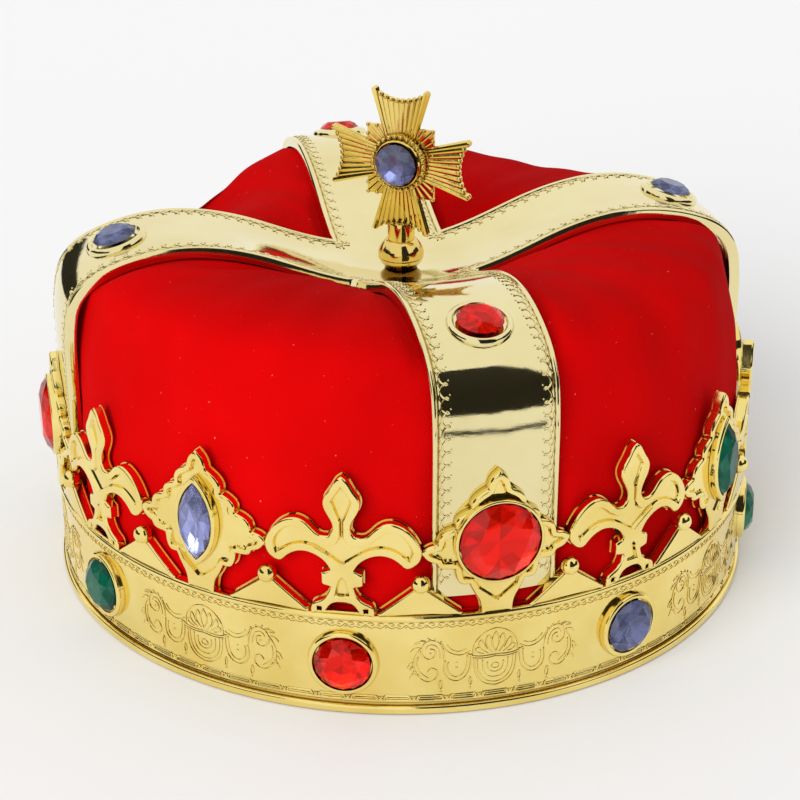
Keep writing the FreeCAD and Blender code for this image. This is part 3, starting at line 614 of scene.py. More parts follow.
def lozenge_part(inner):
    """One scalloped lozenge with its back at a radius. Its recess follows the scallops."""
    loop = outline(LOZENGE, LOZENGE_HALF, LOZENGE_HEIGHT)
    border = inset(loop, LOZENGE_BORDER)
    right = border[(border[:, 0] >= 0) & (border[:, 1] > LOZENGE_RECESS_LOW)]
    tip = np.array([0.0, LOZENGE_RECESS_TIP])
    right = np.concatenate([right, np.linspace(right[-1], tip, 9)[1:]])
    left = right[::-1][1:] * (-1, 1)
    left = left[left[:, 0] < -1e-3]
    return relief_plate(loop, recesses=(np.concatenate([right, left]),), inner=inner)


def ball_part(radius, centre, rows=14, columns=22):
    """A ball on the front of the crown."""
    angles = np.linspace(-math.pi / 2, math.pi / 2, rows)
    points, faces = lathe([(max(radius * math.cos(a), 1e-3), radius * math.sin(a)) for a in angles], columns)
    return points + centre, faces


def peak_part():
    """A low peak with a ball on its point."""
    plate = relief_plate(outline(PEAK, PEAK_HALF, PEAK_HEIGHT))
    return joined([plate, ball_part(BALL_RADIUS, (0, -BALL_CENTRE, BALL_HEIGHT))])


def band_wall_part():
    """The wall of the band with its lip, groove and bead."""
    def round_out(low, high, start, stand):
        angles = np.linspace(-math.pi / 2, math.pi / 2, 9)
        middle, half = (low + high) / 2, (high - low) / 2
        return [(start + stand * math.cos(a), middle + half * math.sin(a)) for a in angles]

    round_size = 0.8
    lip = LIP_RADIUS - round_size
    profile = [(BAND_INNER, 0.2), (BAND_INNER + 0.2, 0.0), (lip, 0.0)]
    profile += [(lip + round_size * math.sin(a), round_size - round_size * math.cos(a))
                for a in (0.4, 0.8, 1.2, 1.57)]
    profile += [(lip + round_size * math.cos(a), LIP_TOP - round_size + round_size * math.sin(a))
                for a in (0.0, 0.4, 0.8, 1.2)]
    profile.append((LIP_RADIUS - 0.9, LIP_TOP))
    # The groove over the lip, by its depth in the wall and its height.
    groove = ((0.45, 0.0), (0.5, 0.15), (0.5, 0.6), (0.15, 0.7), (0.0, 0.9))
    profile += [(BAND_RADIUS - depth, LIP_TOP + height) for depth, height in groove]
    profile += [(BAND_RADIUS, z) for z in np.linspace(5, BAND_TOP - 2.4, 9)]
    profile += [(BAND_RADIUS - 0.12, BAND_TOP - 2.1)]
    profile += round_out(BAND_TOP - 2.0, BAND_TOP - 0.1, BAND_RADIUS - 0.05, 0.95)
    profile += [(BAND_RADIUS - 0.35, BAND_TOP), (BAND_INNER + 0.3, BAND_TOP), (BAND_INNER, BAND_TOP - 0.3)]
    profile += [(BAND_INNER, z) for z in np.linspace(BAND_TOP - 3, 3, 6)]
    return lathe(profile, 420, closed=True)


def rim_part(inner, outer, stand, root):
    """A raised rim round a gem: rounded outside and top, sloped inside."""
    half = (outer - inner) / 2
    middle = outer - half
    profile = [(outer, -root), (outer, stand - half)]
    profile += [(middle + half * math.cos(a), stand - half + half * math.sin(a))
                for a in (0.35, 0.8, 1.25, 1.7, 2.2)]
    profile += [(inner, stand - half - 0.1), (inner - 0.05, stand - 2 * half - 0.2), (inner, -root)]
    return lathe(profile, 72, closed=True)


def pointed_rim_part(width, length, rim, stand, root):
    """A raised rim round a marquise gem."""
    def oval(extra, height):
        w, l = width / 2 + extra, length / 2 + 1.5 * extra
        radius = (w * w + l * l) / (2 * w)
        span = math.asin(min(1.0, l / radius))
        angles = np.linspace(-span, span, 28)
        right = np.stack([radius * np.cos(angles) - (radius - w), radius * np.sin(angles)], 1)
        loop = np.concatenate([right[:-1], -right[:-1]])
        return np.column_stack([loop, np.full(len(loop), height)])

    half = rim / 2
    rows = [oval(rim, -root), oval(rim, stand - half)]
    rows += [oval(half + half * math.cos(a), stand - half + half * math.sin(a)) for a in (0.5, 1.1, 1.7, 2.3)]
    rows += [oval(0.1, stand - half - 0.2), oval(0.1, -root)]
    rows.append(rows[0])
    return np.concatenate(rows), grid_faces(len(rows), len(rows[0]), closed=True)


# The engraved panel's right half: each line has its thickness, then the (x, z) points that it runs through.
PANEL = (
    # nested shields under the fan
    (0.17, ((5.2, 14.6), (5.1, 11.6), (4.0, 8.6), (2.0, 7.0), (0.0, 6.5))),
    (0.15, ((4.4, 14.4), (4.3, 11.7), (3.3, 9.2), (1.7, 7.8), (0.0, 7.4))),
    (0.15, ((3.2, 13.9), (3.1, 11.6), (2.4, 9.9), (1.2, 9.0), (0.0, 8.8))),
    (0.15, ((2.0, 13.2), (1.9, 11.7), (1.3, 10.7), (0.0, 10.2))),
    (0.17, ((0.0, 12.8), (0.8, 12.4), (0.9, 11.6), (0.0, 11.3))),
    # the bar and the fan above it
    (0.2, ((0.0, 15.2), (2.8, 15.0), (5.6, 15.4), (7.4, 16.4))),
    (0.15, ((0.0, 14.7), (2.8, 14.4), (5.6, 14.8))),
    (0.18, ((5.6, 15.8), (5.4, 18.2), (4.1, 20.4), (2.1, 21.9), (0.0, 22.5))),
    (0.15, ((0.0, 16.0), (0.75, 18.0), (0.7, 20.2), (0.0, 21.5))),
    (0.15, ((0.9, 15.9), (2.1, 17.6), (2.4, 19.6), (1.8, 20.8), (1.1, 19.6), (0.9, 17.6))),
    (0.15, ((1.9, 15.7), (3.4, 16.9), (4.2, 18.4), (3.7, 19.6), (2.9, 18.4), (2.2, 17.0))),
    (0.14, ((3.0, 15.7), (4.4, 16.2), (5.0, 17.2), (4.4, 17.6), (3.6, 16.8))),
    # the swag and the stem that it hangs from
    (0.18, ((6.1, 16.0), (6.3, 12.6), (7.4, 9.9), (9.6, 8.7), (11.8, 9.8), (12.7, 12.2), (12.4, 14.6))),
    (0.15, ((7.0, 15.6), (7.2, 12.9), (8.0, 10.8), (9.6, 9.8), (11.1, 10.7), (11.8, 12.5), (11.6, 14.2))),
    (0.17, ((6.2, 17.0), (8.0, 16.0), (10.2, 16.2), (12.2, 17.6), (13.2, 19.4))),
    (0.14, ((7.2, 17.6), (9.0, 17.0), (10.8, 17.6), (12.0, 19.0))),
    # the outer curl and its tail
    (0.19, ((12.6, 14.8), (12.9, 17.6), (14.2, 19.9), (16.4, 20.3), (18.0, 18.7), (17.9, 16.4), (16.3, 15.2),
            (14.9, 16.1), (15.0, 17.7), (16.1, 18.1))),
    (0.14, ((13.6, 15.4), (13.9, 17.6), (14.9, 19.0), (16.3, 19.2), (17.1, 18.1))),
    (0.18, ((18.2, 18.4), (19.6, 16.2), (20.0, 13.4), (18.8, 10.4), (16.6, 8.9), (14.6, 9.8), (14.3, 11.8),
            (15.7, 12.7), (16.7, 11.6))),
    (0.14, ((18.9, 15.9), (19.1, 13.4), (18.1, 11.3), (16.5, 10.0))),
    (0.15, ((19.4, 12.0), (20.3, 11.2), (20.9, 9.9))),
    (0.15, ((19.9, 14.4), (20.9, 13.9), (21.6, 12.8))),
    (0.15, ((17.2, 20.0), (18.6, 20.3), (19.8, 19.7))),
    (0.15, ((18.5, 18.6), (19.8, 18.4), (20.7, 17.4))),
    # the pendants
    (0.16, ((6.2, 9.6), (6.5, 8.4), (6.1, 7.2), (5.8, 8.4), (6.2, 9.6))),
    (0.16, ((13.5, 9.2), (13.9, 7.9), (13.4, 6.6), (13.0, 7.9), (13.5, 9.2))),
)
# The panel's dots, with the radius of each after its place.
PANEL_DOTS = ((6.2, 6.6, 0.3), (13.4, 6.0, 0.28), (9.6, 12.6, 0.34), (9.6, 14.0, 0.26), (16.0, 16.9, 0.3))
# The short rays round the panel's two curls: the first, the one after the last, the middle of the curl.
PANEL_RAYS = ((0, 5, (16.2, 17.6)), (5, 9, (17.2, 13.6)))


def stroke(path, thickness, step=0.55):
    """A fine raised line on the wall, half sunk, along flat (x, z) points."""
    flat = spline(path, step) if len(path) > 2 else np.array(path, float)
    return tube(wrap(flat, BAND_RADIUS + 0.04), 1.15 * thickness)


def dot(x, z, radius):
    """A small ball on the wall."""
    return ball_part(radius, wrap(np.array([(x, z)]), BAND_RADIUS)[0], 5, 8)


def panel_part():
    """One engraved panel on the front of the wall."""
    lines = [stroke([(side * x, z) for x, z in points], thickness)
             for thickness, points in PANEL for side in (1, -1)]
    for first, end, centre in PANEL_RAYS:
        for k in range(first, end):
            angle = math.radians(150 - 26 * k)
            turn = angle - 0.25
            inner = np.array(centre) + (3.2 * math.cos(angle), 2.9 * math.sin(angle))
            outer = np.array(centre) + (3.9 * math.cos(turn), 3.6 * math.sin(turn))
            lines += [stroke([inner * (side, 1), outer * (side, 1)], 0.16) for side in (1, -1)]
    lines += [dot(side * x, z, size) for side in (1, -1) for x, z, size in PANEL_DOTS]
    return joined(lines)


def lace_part(pitch):
    """One motif of the lace border under the bead: a scallop, two small curls and a dot."""
    half = pitch / 2
    scallop = ((-1, 24.9), (-0.7, 24.2), (-0.35, 23.9), (0, 24.3), (0.35, 23.9), (0.7, 24.2), (1, 24.9))
    curl = ((0.75, 25.2), (0.35, 25.3), (0.2, 24.8), (0.5, 24.6))
    paths = [scallop] + [[(side * x, z) for x, z in curl] for side in (-1, 1)]
    lines = [stroke([(x * half, z) for x, z in path], 0.13, step=0.4) for path in paths]
    return joined([*lines, dot(half, 24.2, 0.24)])


def bar_part(pitch):
    """One motif of the lower border: a long double-line bar and a small cross beside it."""
    half, low, middle, high = 2.9, 3.8, 4.4, 5.0
    corners = [(-half, low), (half, low), (half + 0.3, middle), (half, high), (-half, high),
               (-half - 0.3, middle), (-half, low)]
    lines = []
    for start, end in zip(corners, corners[1:]):
        count = 5 if abs(end[0] - start[0]) > 1 else 2
        lines.append(stroke(list(np.linspace(start, end, count)), 0.24, step=1.2))
    lines.append(stroke([(-half + 0.5, middle), (0, middle), (half - 0.5, middle)], 0.2, step=1.2))
    # The cross stands midway to the next bar.
    x, reach = pitch / 2, 0.45
    for rise in (0.5, -0.5):
        lines.append(stroke([(x - reach, middle - rise), (x + reach, middle + rise)], 0.2))
    return joined([*lines, dot(x, middle, 0.27)])


def make_engraving():
    """The fine relief on the wall: panels between the gems and a border above and below."""
    def border(motif, count):
        return ring_of(motif(2 * math.pi * BAND_RADIUS / count), [360 * k / count for k in range(count)])

    lace, bars = border(lace_part, 122), border(bar_part, 74)
    panels = ring_of(panel_part(), [45 * k for k in range(8)])
    for name, part in (("band_lace", lace), ("band_bars", bars), ("band_panels", panels)):
        finish_piece(add_mesh(name, *part, [GOLD_BAND], sharp=60), "gold_band", "band")


BAND_GEM_RADIUS, BAND_GEM_HEIGHT, BAND_GEM_FLOOR = 7.0, 14.3, 94.1
CREST_GEM_RADIUS, CREST_GEM_HEIGHT, CREST_GEM_FLOOR = 9.9, 47.0, 94.3
MARQUISE_WIDTH, MARQUISE_LENGTH, MARQUISE_HEIGHT = 9.2, 20.2, 46.5
ARCH_GEM_RADIUS, ARCH_GEM_REACH = 5.7, 75.5
CROSS_GEM_RADIUS = 5.65
# Colours of the gems on the wall, from the first lily beside the front onwards, towards +X.
BAND_GEM_ORDER = ("blue", "green", "red", "blue", "red", "blue", "green", "red")
FLEUR_AZIMUTHS = [22.5 + 45 * k for k in range(8)]
PEAK_AZIMUTHS = [11.25 + 22.5 * k for k in range(16)]
QUARTERS = [0, 90, 180, 270]


def make_band():
    """Every piece that stands for the one gold moulding."""
    wall = add_mesh("band_wall", *band_wall_part(), [GOLD_BAND])
    lilies = add_mesh("band_lilies", *ring_of(fleur_part(), FLEUR_AZIMUTHS), [GOLD_BAND], sharp=50)
    before_arches = ring_of(lozenge_part(PLATE_INNER), QUARTERS)
    between_arches = ring_of(lozenge_part(PLATE_DEEP_INNER), [45 + a for a in QUARTERS])
    lozenges = add_mesh("band_lozenges", *joined([before_arches, between_arches]), [GOLD_BAND], sharp=50)
    peaks = add_mesh("band_peaks", *ring_of(peak_part(), PEAK_AZIMUTHS), [GOLD_BAND])
    low = rim_part(7.15, 8.6, 1.7, 1.5)
    rims = [placed(low, facing(a, BAND_RADIUS, BAND_GEM_HEIGHT)) for a in FLEUR_AZIMUTHS]
    crest = rim_part(10.0, 10.85, 1.25, 1.0)
    rims += [placed(crest, facing(a, PLATE_RADIUS, CREST_GEM_HEIGHT)) for a in QUARTERS]
    pointed = pointed_rim_part(MARQUISE_WIDTH, MARQUISE_LENGTH, 1.3, 1.3, 1.0)
    rims += [placed(pointed, facing(45 + a, PLATE_RADIUS, MARQUISE_HEIGHT)) for a in QUARTERS]
    settings = add_mesh("band_settings", *joined(rims), [GOLD_BAND])
    for piece in (wall, lilies, lozenges, peaks, settings):
        finish_piece(piece, "gold_band", "band")


# The arches

def arch_line():
    """The (r, z) side line of the arches, from the axis to the spring."""
    rise = ARCH_TOP - ARCH_SPRING
    shape = [(x * ARCH_RADIUS, ARCH_SPRING + z * rise) for x, z in ARCH_SHAPE]
    points = [(0, HUB_HEIGHT), *shape, (ARCH_RADIUS, ARCH_SPRING)]
    return spline(points, step=0.8, start=(1, 0), end=(0, -1))


ARCH_LINE = arch_line()


def line_normals(line):
    """Outward normals of a side line."""
    along = np.gradient(line, axis=0)
    along /= np.linalg.norm(along, axis=1)[:, None]
    return np.stack([-along[:, 1], along[:, 0]], 1)


def rim_offset(edge):
    """Height of the arch's face over its side line, by the distance from its edge."""
    edge = np.asarray(edge)
    corner = -0.5 * (1 - np.sqrt(np.clip(1 - (1 - edge / 0.5) ** 2, 0, 1)))
    corner = np.where(edge < 0.5, corner, 0)
    bead = 0.28 * np.sqrt(np.clip(1 - ((edge - 0.75) / 0.6) ** 2, 0, 1))
    groove = -0.35 * bell(edge, ARCH_RIM, 0.17)
    return corner + bead + groove


def arch_surface(depth_rule):
    """Points of the whole X of the arches: the hub's square, then four arms. Also the faces.

    depth_rule gives the offset from the side line for the distance from the edge."""
    half = ARCH_HALF_WIDTH
    edges = [0, 0.12, 0.3, 0.5, 0.9, 1.25, 1.4, 1.5, 1.6, 1.75, 2.1, 3.0, 4.6, 7.0, 10.0, 12.8]
    widths = np.array([-half + e for e in edges] + [0] + [half - e for e in reversed(edges)])
    columns = len(widths)
    normals = line_normals(ARCH_LINE)
    radii = ARCH_LINE[:, 0]
    # Up to here each distance from the axis has one height.
    flat_end = np.argmax(radii > 60)

    def on_line(radius, offset):
        z = np.interp(radius, radii[:flat_end], ARCH_LINE[:flat_end, 1])
        nr = np.interp(radius, radii[:flat_end], normals[:flat_end, 0])
        nz = np.interp(radius, radii[:flat_end], normals[:flat_end, 1])
        return nr * offset, z + nz * offset

    parts = []
    x, y = np.meshgrid(widths, widths)
    x, y = x.ravel(), y.ravel()
    radius = np.maximum(np.hypot(x, y), 1e-6)
    edge = np.hypot(half - np.abs(x), half - np.abs(y))
    shift, z = on_line(radius, depth_rule(edge))
    hub = np.stack([x * (1 + shift / radius), y * (1 + shift / radius), z], 1)
    parts.append((hub, grid_faces(columns, columns)))
    # An arm goes from the hub's straight edge to rows of one radius each, outside the hub's corners.
    start = np.argmax(radii > half * 1.5)
    foot = np.arange(ARCH_SPRING - 2.5, ARCH_FOOT, -2.5).tolist() + [ARCH_FOOT]
    rows = [(*point, *normal) for point, normal in zip(ARCH_LINE[start:], normals[start:])]
    rows += [(ARCH_RADIUS, z, 1.0, 0.0) for z in foot]
    offset = depth_rule(half - np.abs(widths))
    radius = np.hypot(half, widths)
    shift, z = on_line(radius, offset)
    arm = [np.stack([widths * (1 + shift / radius), -half * (1 + shift / radius), z], 1)]
    for r, z, nr, nz in rows:
        reach = r + nr * offset
        side = widths * reach / r
        arm.append(np.stack([side, -np.sqrt(reach ** 2 - side ** 2), z + nz * offset], 1))
    arm = np.concatenate(arm)
    faces = [face[::-1] for face in grid_faces(len(rows) + 1, columns)]
    parts += [(turned(arm, quarter), faces) for quarter in QUARTERS]
    return joined(parts)


def merged(points, faces, distance=0.02):
    """Points that lie together made one, and faces that it leaves without area dropped."""
    cells = {}
    index = np.zeros(len(points), int)
    kept = []
    for i, point in enumerate(points):
        key = tuple(np.round(point / distance).astype(int))
        if key not in cells:
            cells[key] = len(kept)
            kept.append(point)
        index[i] = cells[key]
    new_faces = []
    for face in faces:
        loop = [int(index[i]) for i in face]
        loop = [a for a, b in zip(loop, loop[1:] + loop[:1]) if a != b]
        if len(loop) > 2:
            new_faces.append(tuple(loop))
    return np.array(kept), new_faces


def open_edges(faces):
    """The directed edges that only one face has."""
    sides = set()
    for face in faces:
        for a, b in zip(face, face[1:] + face[:1]):
            sides.add((a, b))
    return [(a, b) for a, b in sides if (b, a) not in sides]


def arches_part():
    """The arches as a closed shell: a face with a rim, and an underside with a deeper edge."""
    def under(edge):
        return -np.where(np.asarray(edge) < 1.3, ARCH_DEPTH, ARCH_THICKNESS)

    top_points, top_faces = merged(*arch_surface(rim_offset))
    low_points, low_faces = merged(*arch_surface(under))
    low_faces = [face[::-1] for face in low_faces]
    points, faces = joined([(top_points, top_faces), (low_points, low_faces)])
    shift = len(top_points)
    low_edge_points = sorted({i for edge in open_edges(low_faces) for i in edge})
    low_edge = np.array([low_points[i] for i in low_edge_points])
    match = {}
    for i in {i for edge in open_edges(top_faces) for i in edge}:
        nearest = int(np.argmin(np.linalg.norm(low_edge - top_points[i], axis=1)))
        match[i] = low_edge_points[nearest] + shift
    for a, b in open_edges(top_faces):
        loop = [b, a, match[a], match[b]]
        if match[a] == match[b]:
            loop = loop[:3]
        faces.append(tuple(loop))
    return points, faces


def arch_lace_part():
    """The curling line inside the two edges of the front arch."""
    lengths = np.concatenate([[0], np.cumsum(np.linalg.norm(np.diff(ARCH_LINE, axis=0), axis=1))])
    normals = line_normals(ARCH_LINE)
    foot = lengths[-1] + ARCH_SPRING - ARCH_FOOT

    def on_arch(along, width, lift):
        bend = np.minimum(along, lengths[-1])
        r, z = (np.interp(bend, lengths, ARCH_LINE[:, k]) for k in (0, 1))
        nr, nz = (np.interp(bend, lengths, normals[:, k]) for k in (0, 1))
        z = z - np.maximum(along - lengths[-1], 0)
        reach = r + nr * lift
        side = width * reach / r
        return np.stack([side, -np.sqrt(np.maximum(reach ** 2 - side ** 2, 0.01)), z + nz * lift], 1)

    parts = []
    pitch = 3.3
    inside = ARCH_HALF_WIDTH - 3.3
    start = float(np.interp(math.hypot(inside, inside), ARCH_LINE[:, 0], lengths))
    count = int((foot - 1.5 - start) / pitch)
    turns = np.linspace(0, count, count * 12 + 1)
    for side in (1, -1):
        phase = 2 * math.pi * turns
        along = start + pitch * turns + 0.95 * np.sin(phase)
        width = side * (inside + 0.85 * np.cos(phase) + 0.2 * np.sin(2 * phase + 0.7))
        path = on_arch(np.clip(along, start - 1, foot - 0.6), width, 0.02)
        parts.append(tube(path, 0.26))
        leaf = on_arch(start + pitch * turns, side * (inside + 1.25 - 0.28 * np.cos(phase)), 0.0)
        parts.append(tube(leaf[::2], 0.2))
        beads = start + pitch * (np.arange(count) + 0.25)
        parts += [ball_part(0.24, centre, 5, 8) for centre in on_arch(beads, side * (inside - 1.15), 0.02)]
    return joined(parts)


def arch_place(reach):
    """The side line's point and slope at a distance from the axis, on the part outside the top."""
    index = int(np.argmin(np.abs(ARCH_LINE[:, 0] - reach)))
    normal = line_normals(ARCH_LINE)[index]
    return ARCH_LINE[index, 1], math.degrees(math.atan2(normal[0], normal[1]))


ARCH_GEM_Z, ARCH_GEM_SLOPE = arch_place(ARCH_GEM_REACH)


def arch_setting_part():
    """The dished setting of an arch gem: a round rim, a step down and a flat well."""
    profile = [(8.1, -1.2), (8.0, 0.0), (7.85, 0.5), (7.5, 0.9), (7.1, 1.1), (6.75, 1.05), (6.5, 0.85),
               (6.35, 0.5), (6.2, 0.3), (5.2, 0.28), (5.2, -1.2)]
    return lathe(profile, 72, closed=True)


def make_arches():
    """The X of the arches and the settings on its shoulders."""
    body = add_mesh("arches_body", *arches_part(), [GOLD_ARCH], sharp=45)
    setting = arch_setting_part()
    seats = [facing(a, ARCH_GEM_REACH, ARCH_GEM_Z, ARCH_GEM_SLOPE) for a in QUARTERS]
    rims = add_mesh("arches_settings", *joined([placed(setting, seat) for seat in seats]), [GOLD_ARCH])
    lace = add_mesh("arches_lace", *ring_of(arch_lace_part(), QUARTERS), [GOLD_ARCH], sharp=60)
    for piece in (body, rims, lace):
        finish_piece(piece, "gold_arches", "arches")


# The finial

def make_finial():
    """The cross with its ribs, beads and dished setting, its stem and the knob."""
    parts = []
    # An arm of the cross: its length, half its width at tip and root, and how far its end is hollowed.
    reach, tip, root, hollow = 19.3, 7.3, 3.2, 2.3
    up = (0, 0, 1.0)

    def rib(start, end, thick_start, thick_end, depth):
        path = np.linspace((*start, depth), (*end, depth), 7)
        along = path[-1] - path[0]
        along /= np.linalg.norm(along)
        across = np.cross(along, up)
        sizes = np.linspace(thick_start, thick_end, 7)
        path = np.concatenate([path, [path[-1] + along * 0.55 * thick_end]])
        sizes = np.concatenate([sizes, [0.5 * thick_end]])
        return swept(path, sizes, [across] * len(path), [up] * len(path), 8)

    def bead(x, y, z, radius):
        return ball_part(radius, (x, y, z), 7, 12)

    def slab(corners, half):
        count = len(corners)
        points = [(x, y, z) for z in (-half, half) for x, y in corners]
        faces = [tuple(range(count))[::-1], tuple(range(count, 2 * count))]
        faces += [(k, (k + 1) % count, count + (k + 1) % count, count + k) for k in range(count)]
        return np.array(points), faces

    arm = []
    for share in np.linspace(-1, 1, 10):
        outer = abs(share) > 0.99
        end = reach - hollow * (1 - share ** 2) - (0.2 if outer else 0.7)
        thick = 0.85 if outer else 0.72
        depth = 0.55 if outer else 0.45
        start = (share * root * 0.9, root)
        arm += [rib(start, (share * tip, end), 0.36, thick, side * depth) for side in (1, -1)]
        if not outer:
            arm.append(bead(share * tip, end + 0.15, 0.5, 0.82))
    edge = [(share * tip, reach - hollow * (1 - share ** 2) - 0.8) for share in np.linspace(-1, 1, 9)]
    arm.append(slab([(root, root * 0.9), *edge[::-1], (-root, root * 0.9)], 0.75))
    # The rays in a corner of the cross, and half the side of the square that they fill.
    corner = []
    ray_half = 9.9
    for degrees in (-27, -18, -9, 0, 9, 18, 27):
        angle = math.radians(45 + degrees)
        distance = (ray_half - 0.7) / max(math.cos(angle), math.sin(angle))
        end = (distance * math.cos(angle), distance * math.sin(angle))
        start = (6.0 * math.cos(angle), 6.0 * math.sin(angle))
        corner += [rib(start, end, 0.3, 0.46, depth) for depth in (0.35, -0.35)]
        corner.append(bead(*end, 0.45, 0.6))
    for quarter in QUARTERS:
        spin = Matrix.Rotation(math.radians(quarter), 4, "Z")
        parts += [placed(piece, spin) for piece in arm + corner]
    square = ray_half - 0.5
    parts.append(slab([(-square, -square), (square, -square), (square, square), (-square, square)], 0.5))
    dish = [(0.01, -1.5), (7.3, -1.5), (7.8, -1.1), (7.9, 1.0), (7.6, 1.7), (7.2, 1.9), (6.6, 2.1),
            (6.35, 2.9), (6.1, 3.1), (5.85, 3.0), (5.78, 2.3), (0.01, 2.3)]
    parts.append(lathe(dish, 64))
    for k in range(26):
        angle = 2 * math.pi * k / 26
        parts.append(bead(7.15 * math.cos(angle), 7.15 * math.sin(angle), 1.95, 0.74))
    head = placed(joined(parts), facing(CROSS_AZIMUTH, 0, CROSS_CENTRE))
    stem = lathe([(0.01, 87.7), (3.6, 87.7), (3.6, 92.3), (3.45, 92.6), (0.01, 92.7)], 48)
    cross = add_mesh("cross_head", *joined([head, stem]), [GOLD_CROSS], sharp=40)
    finish_piece(cross, "gold_finial", "finial_cross")
    base, height = 79.7, 8.15
    side = [(0.01, 0.0), (3.9, 0.0), (4.3, 0.25), (4.4, 0.8), (4.9, 1.2), (5.6, 2.0), (5.95, 2.8),
            (6.05, 3.05), (5.85, 3.2), (6.05, 3.35), (6.15, 3.9), (6.1, 4.6), (5.85, 5.5), (5.3, 6.5),
            (4.7, 7.3), (4.2, 7.9), (3.8, height), (0.01, height)]
    knob = lathe([(r, base + z) for r, z in side], 56)
    finish_piece(add_mesh("knob", *knob, [GOLD_KNOB], sharp=50), "gold_finial", "finial_knob")


# The gems

def gem_part(radius, stretch=None):
    """A cut gem with a table, stars, kites and upper facets, over a shallow cut back.

    Returns the points, the faces and a slot for each face: 0 for the body, 1 for the foil."""
    sides = 8
    step = 2 * math.pi / sides
    top, middle = GIRDLE + CROWN, GIRDLE + 0.6 * CROWN

    def ring(share, height, count, turn):
        angles = [2 * math.pi * k / count + turn for k in range(count)]
        return [(share * radius * math.cos(a), share * radius * math.sin(a), height) for a in angles]

    table = ring(0.6, top, sides, 0)
    mid = ring(0.83, middle, sides, step / 2)
    girdle = ring(1.0, GIRDLE, 2 * sides, 0)
    low = ring(1.0, 0.9 * GIRDLE, 2 * sides, 0)
    back = ring(0.45, 0.25, sides, 0)
    points = table + mid + girdle + low + back + [(0, 0, 0.05)]
    # Where each ring starts in the points: table, mid, girdle, low, back and the centre of the back.
    t, m, g = 0, sides, 2 * sides
    l, b, c = 4 * sides, 6 * sides, 7 * sides
    faces, slots = [tuple(range(sides))], [0]
    for k in range(sides):
        after, before = (k + 1) % sides, (k - 1) % sides
        body = [(t + k, m + k, t + after), (t + k, m + before, g + 2 * k, m + k),
                (m + k, g + 2 * k, g + 2 * k + 1), (m + k, g + 2 * k + 1, g + (2 * k + 2) % (2 * sides))]
        foil = [(b + k, l + 2 * k, l + (2 * k - 1) % (2 * sides)), (b + k, l + 2 * k + 1, l + 2 * k),
                (b + k, b + after, l + 2 * k + 1), (b + after, b + k, c)]
        faces += body + foil
        slots += [0] * 4 + [1] * 4
    for k in range(2 * sides):
        after = (k + 1) % (2 * sides)
        faces.append((g + k, l + k, l + after, g + after))
        slots.append(0)
    points = np.array(points)
    if stretch is not None:
        points = stretch(points)
    return points, faces, slots


def marquise_shape(points):
    """Squeezes a round gem of unit radius into a pointed oval."""
    width, length = MARQUISE_WIDTH / 2, MARQUISE_LENGTH / 2
    radius = (width ** 2 + length ** 2) / (2 * width)
    along = points[:, 1] * length
    side = np.sqrt(np.maximum(radius ** 2 - along ** 2, 0)) - (radius - width)
    reach = np.sqrt(np.maximum(1 - points[:, 1] ** 2, 1e-6))
    return np.stack([points[:, 0] / reach * side, along, points[:, 2]], 1)


def add_gem(name, part, matrix, colour):
    """One gem on its seat."""
    points, faces, slots = part
    points, faces = placed((points, faces), matrix)
    body, foil = GEM_MATERIALS[colour]
    gem = add_mesh(name, points, faces, [body, foil], sharp=1, slots=slots)
    gem.data.shade_flat()
    # Painted light and shade: the table has a middle tone, and every other facet a lighter or darker one of
    # its own, in place of its reflections.
    chance = random.Random(name)
    cut_tones, foil_tones = (0.05, 0.25, 0.45, 0.6, 0.75, 0.95), (0.2, 0.4, 0.55)
    tones = [0.5] + [chance.choice(foil_tones if slot else cut_tones) for slot in slots[1:]]
    facet = gem.data.attributes.new("painted_facet_light", "FLOAT", "FACE")
    facet.data.foreach_set("value", tones[:len(gem.data.polygons)])
    finish_piece(gem, "gem_" + ("blue" if colour == "lit_blue" else colour), name)


def make_gems():
    """Every gem, in the place of its CAD node."""
    band_part = gem_part(BAND_GEM_RADIUS)
    for k, (azimuth, colour) in enumerate(zip(FLEUR_AZIMUTHS, BAND_GEM_ORDER)):
        add_gem(f"band_gem_{k + 1}", band_part, facing(azimuth, BAND_GEM_FLOOR, BAND_GEM_HEIGHT), colour)
    marquise = gem_part(1.0, marquise_shape)
    crest = gem_part(CREST_GEM_RADIUS)
    shoulder = gem_part(ARCH_GEM_RADIUS, lambda points: points * (1, 1, 0.75))
    for k, name in enumerate(("front", "right", "back", "left")):
        azimuth = QUARTERS[k]
        add_gem(f"crest_gem_{name}", crest, facing(azimuth, CREST_GEM_FLOOR, CREST_GEM_HEIGHT), "red")
        seat = facing(45 + azimuth, CREST_GEM_FLOOR, MARQUISE_HEIGHT)
        add_gem(f"marquise_gem_{k + 1}", marquise, seat, ("green", "lit_blue")[k % 2])
        seat = facing(azimuth, ARCH_GEM_REACH, ARCH_GEM_Z, ARCH_GEM_SLOPE) @ Matrix.Translation((0, 0, 0.3))
        add_gem(f"arch_gem_{name}", shoulder, seat, ("red", "blue")[k % 2])
    add_gem("cross_gem", gem_part(CROSS_GEM_RADIUS), facing(CROSS_AZIMUTH, 2.3, CROSS_CENTRE), "blue")


# The cap

# Side line of the cap's fullest part, between two arches, as (radius, height).
CAP_LINE = ((0, 75.0), (12, 77.6), (22, 82.2), (32, 86.6), (42, 90.3), (52, 92.8), (62, 94.0), (71, 93.9),
            (78, 92.6), (83.5, 89.6), (87.0, 81.5), (89.7, 70.0), (91.4, 58.0), (91.9, CAP_SPRING))
# The least gap between the cloth and the arches' side line.
CAP_UNDER_ARCH = 3.2


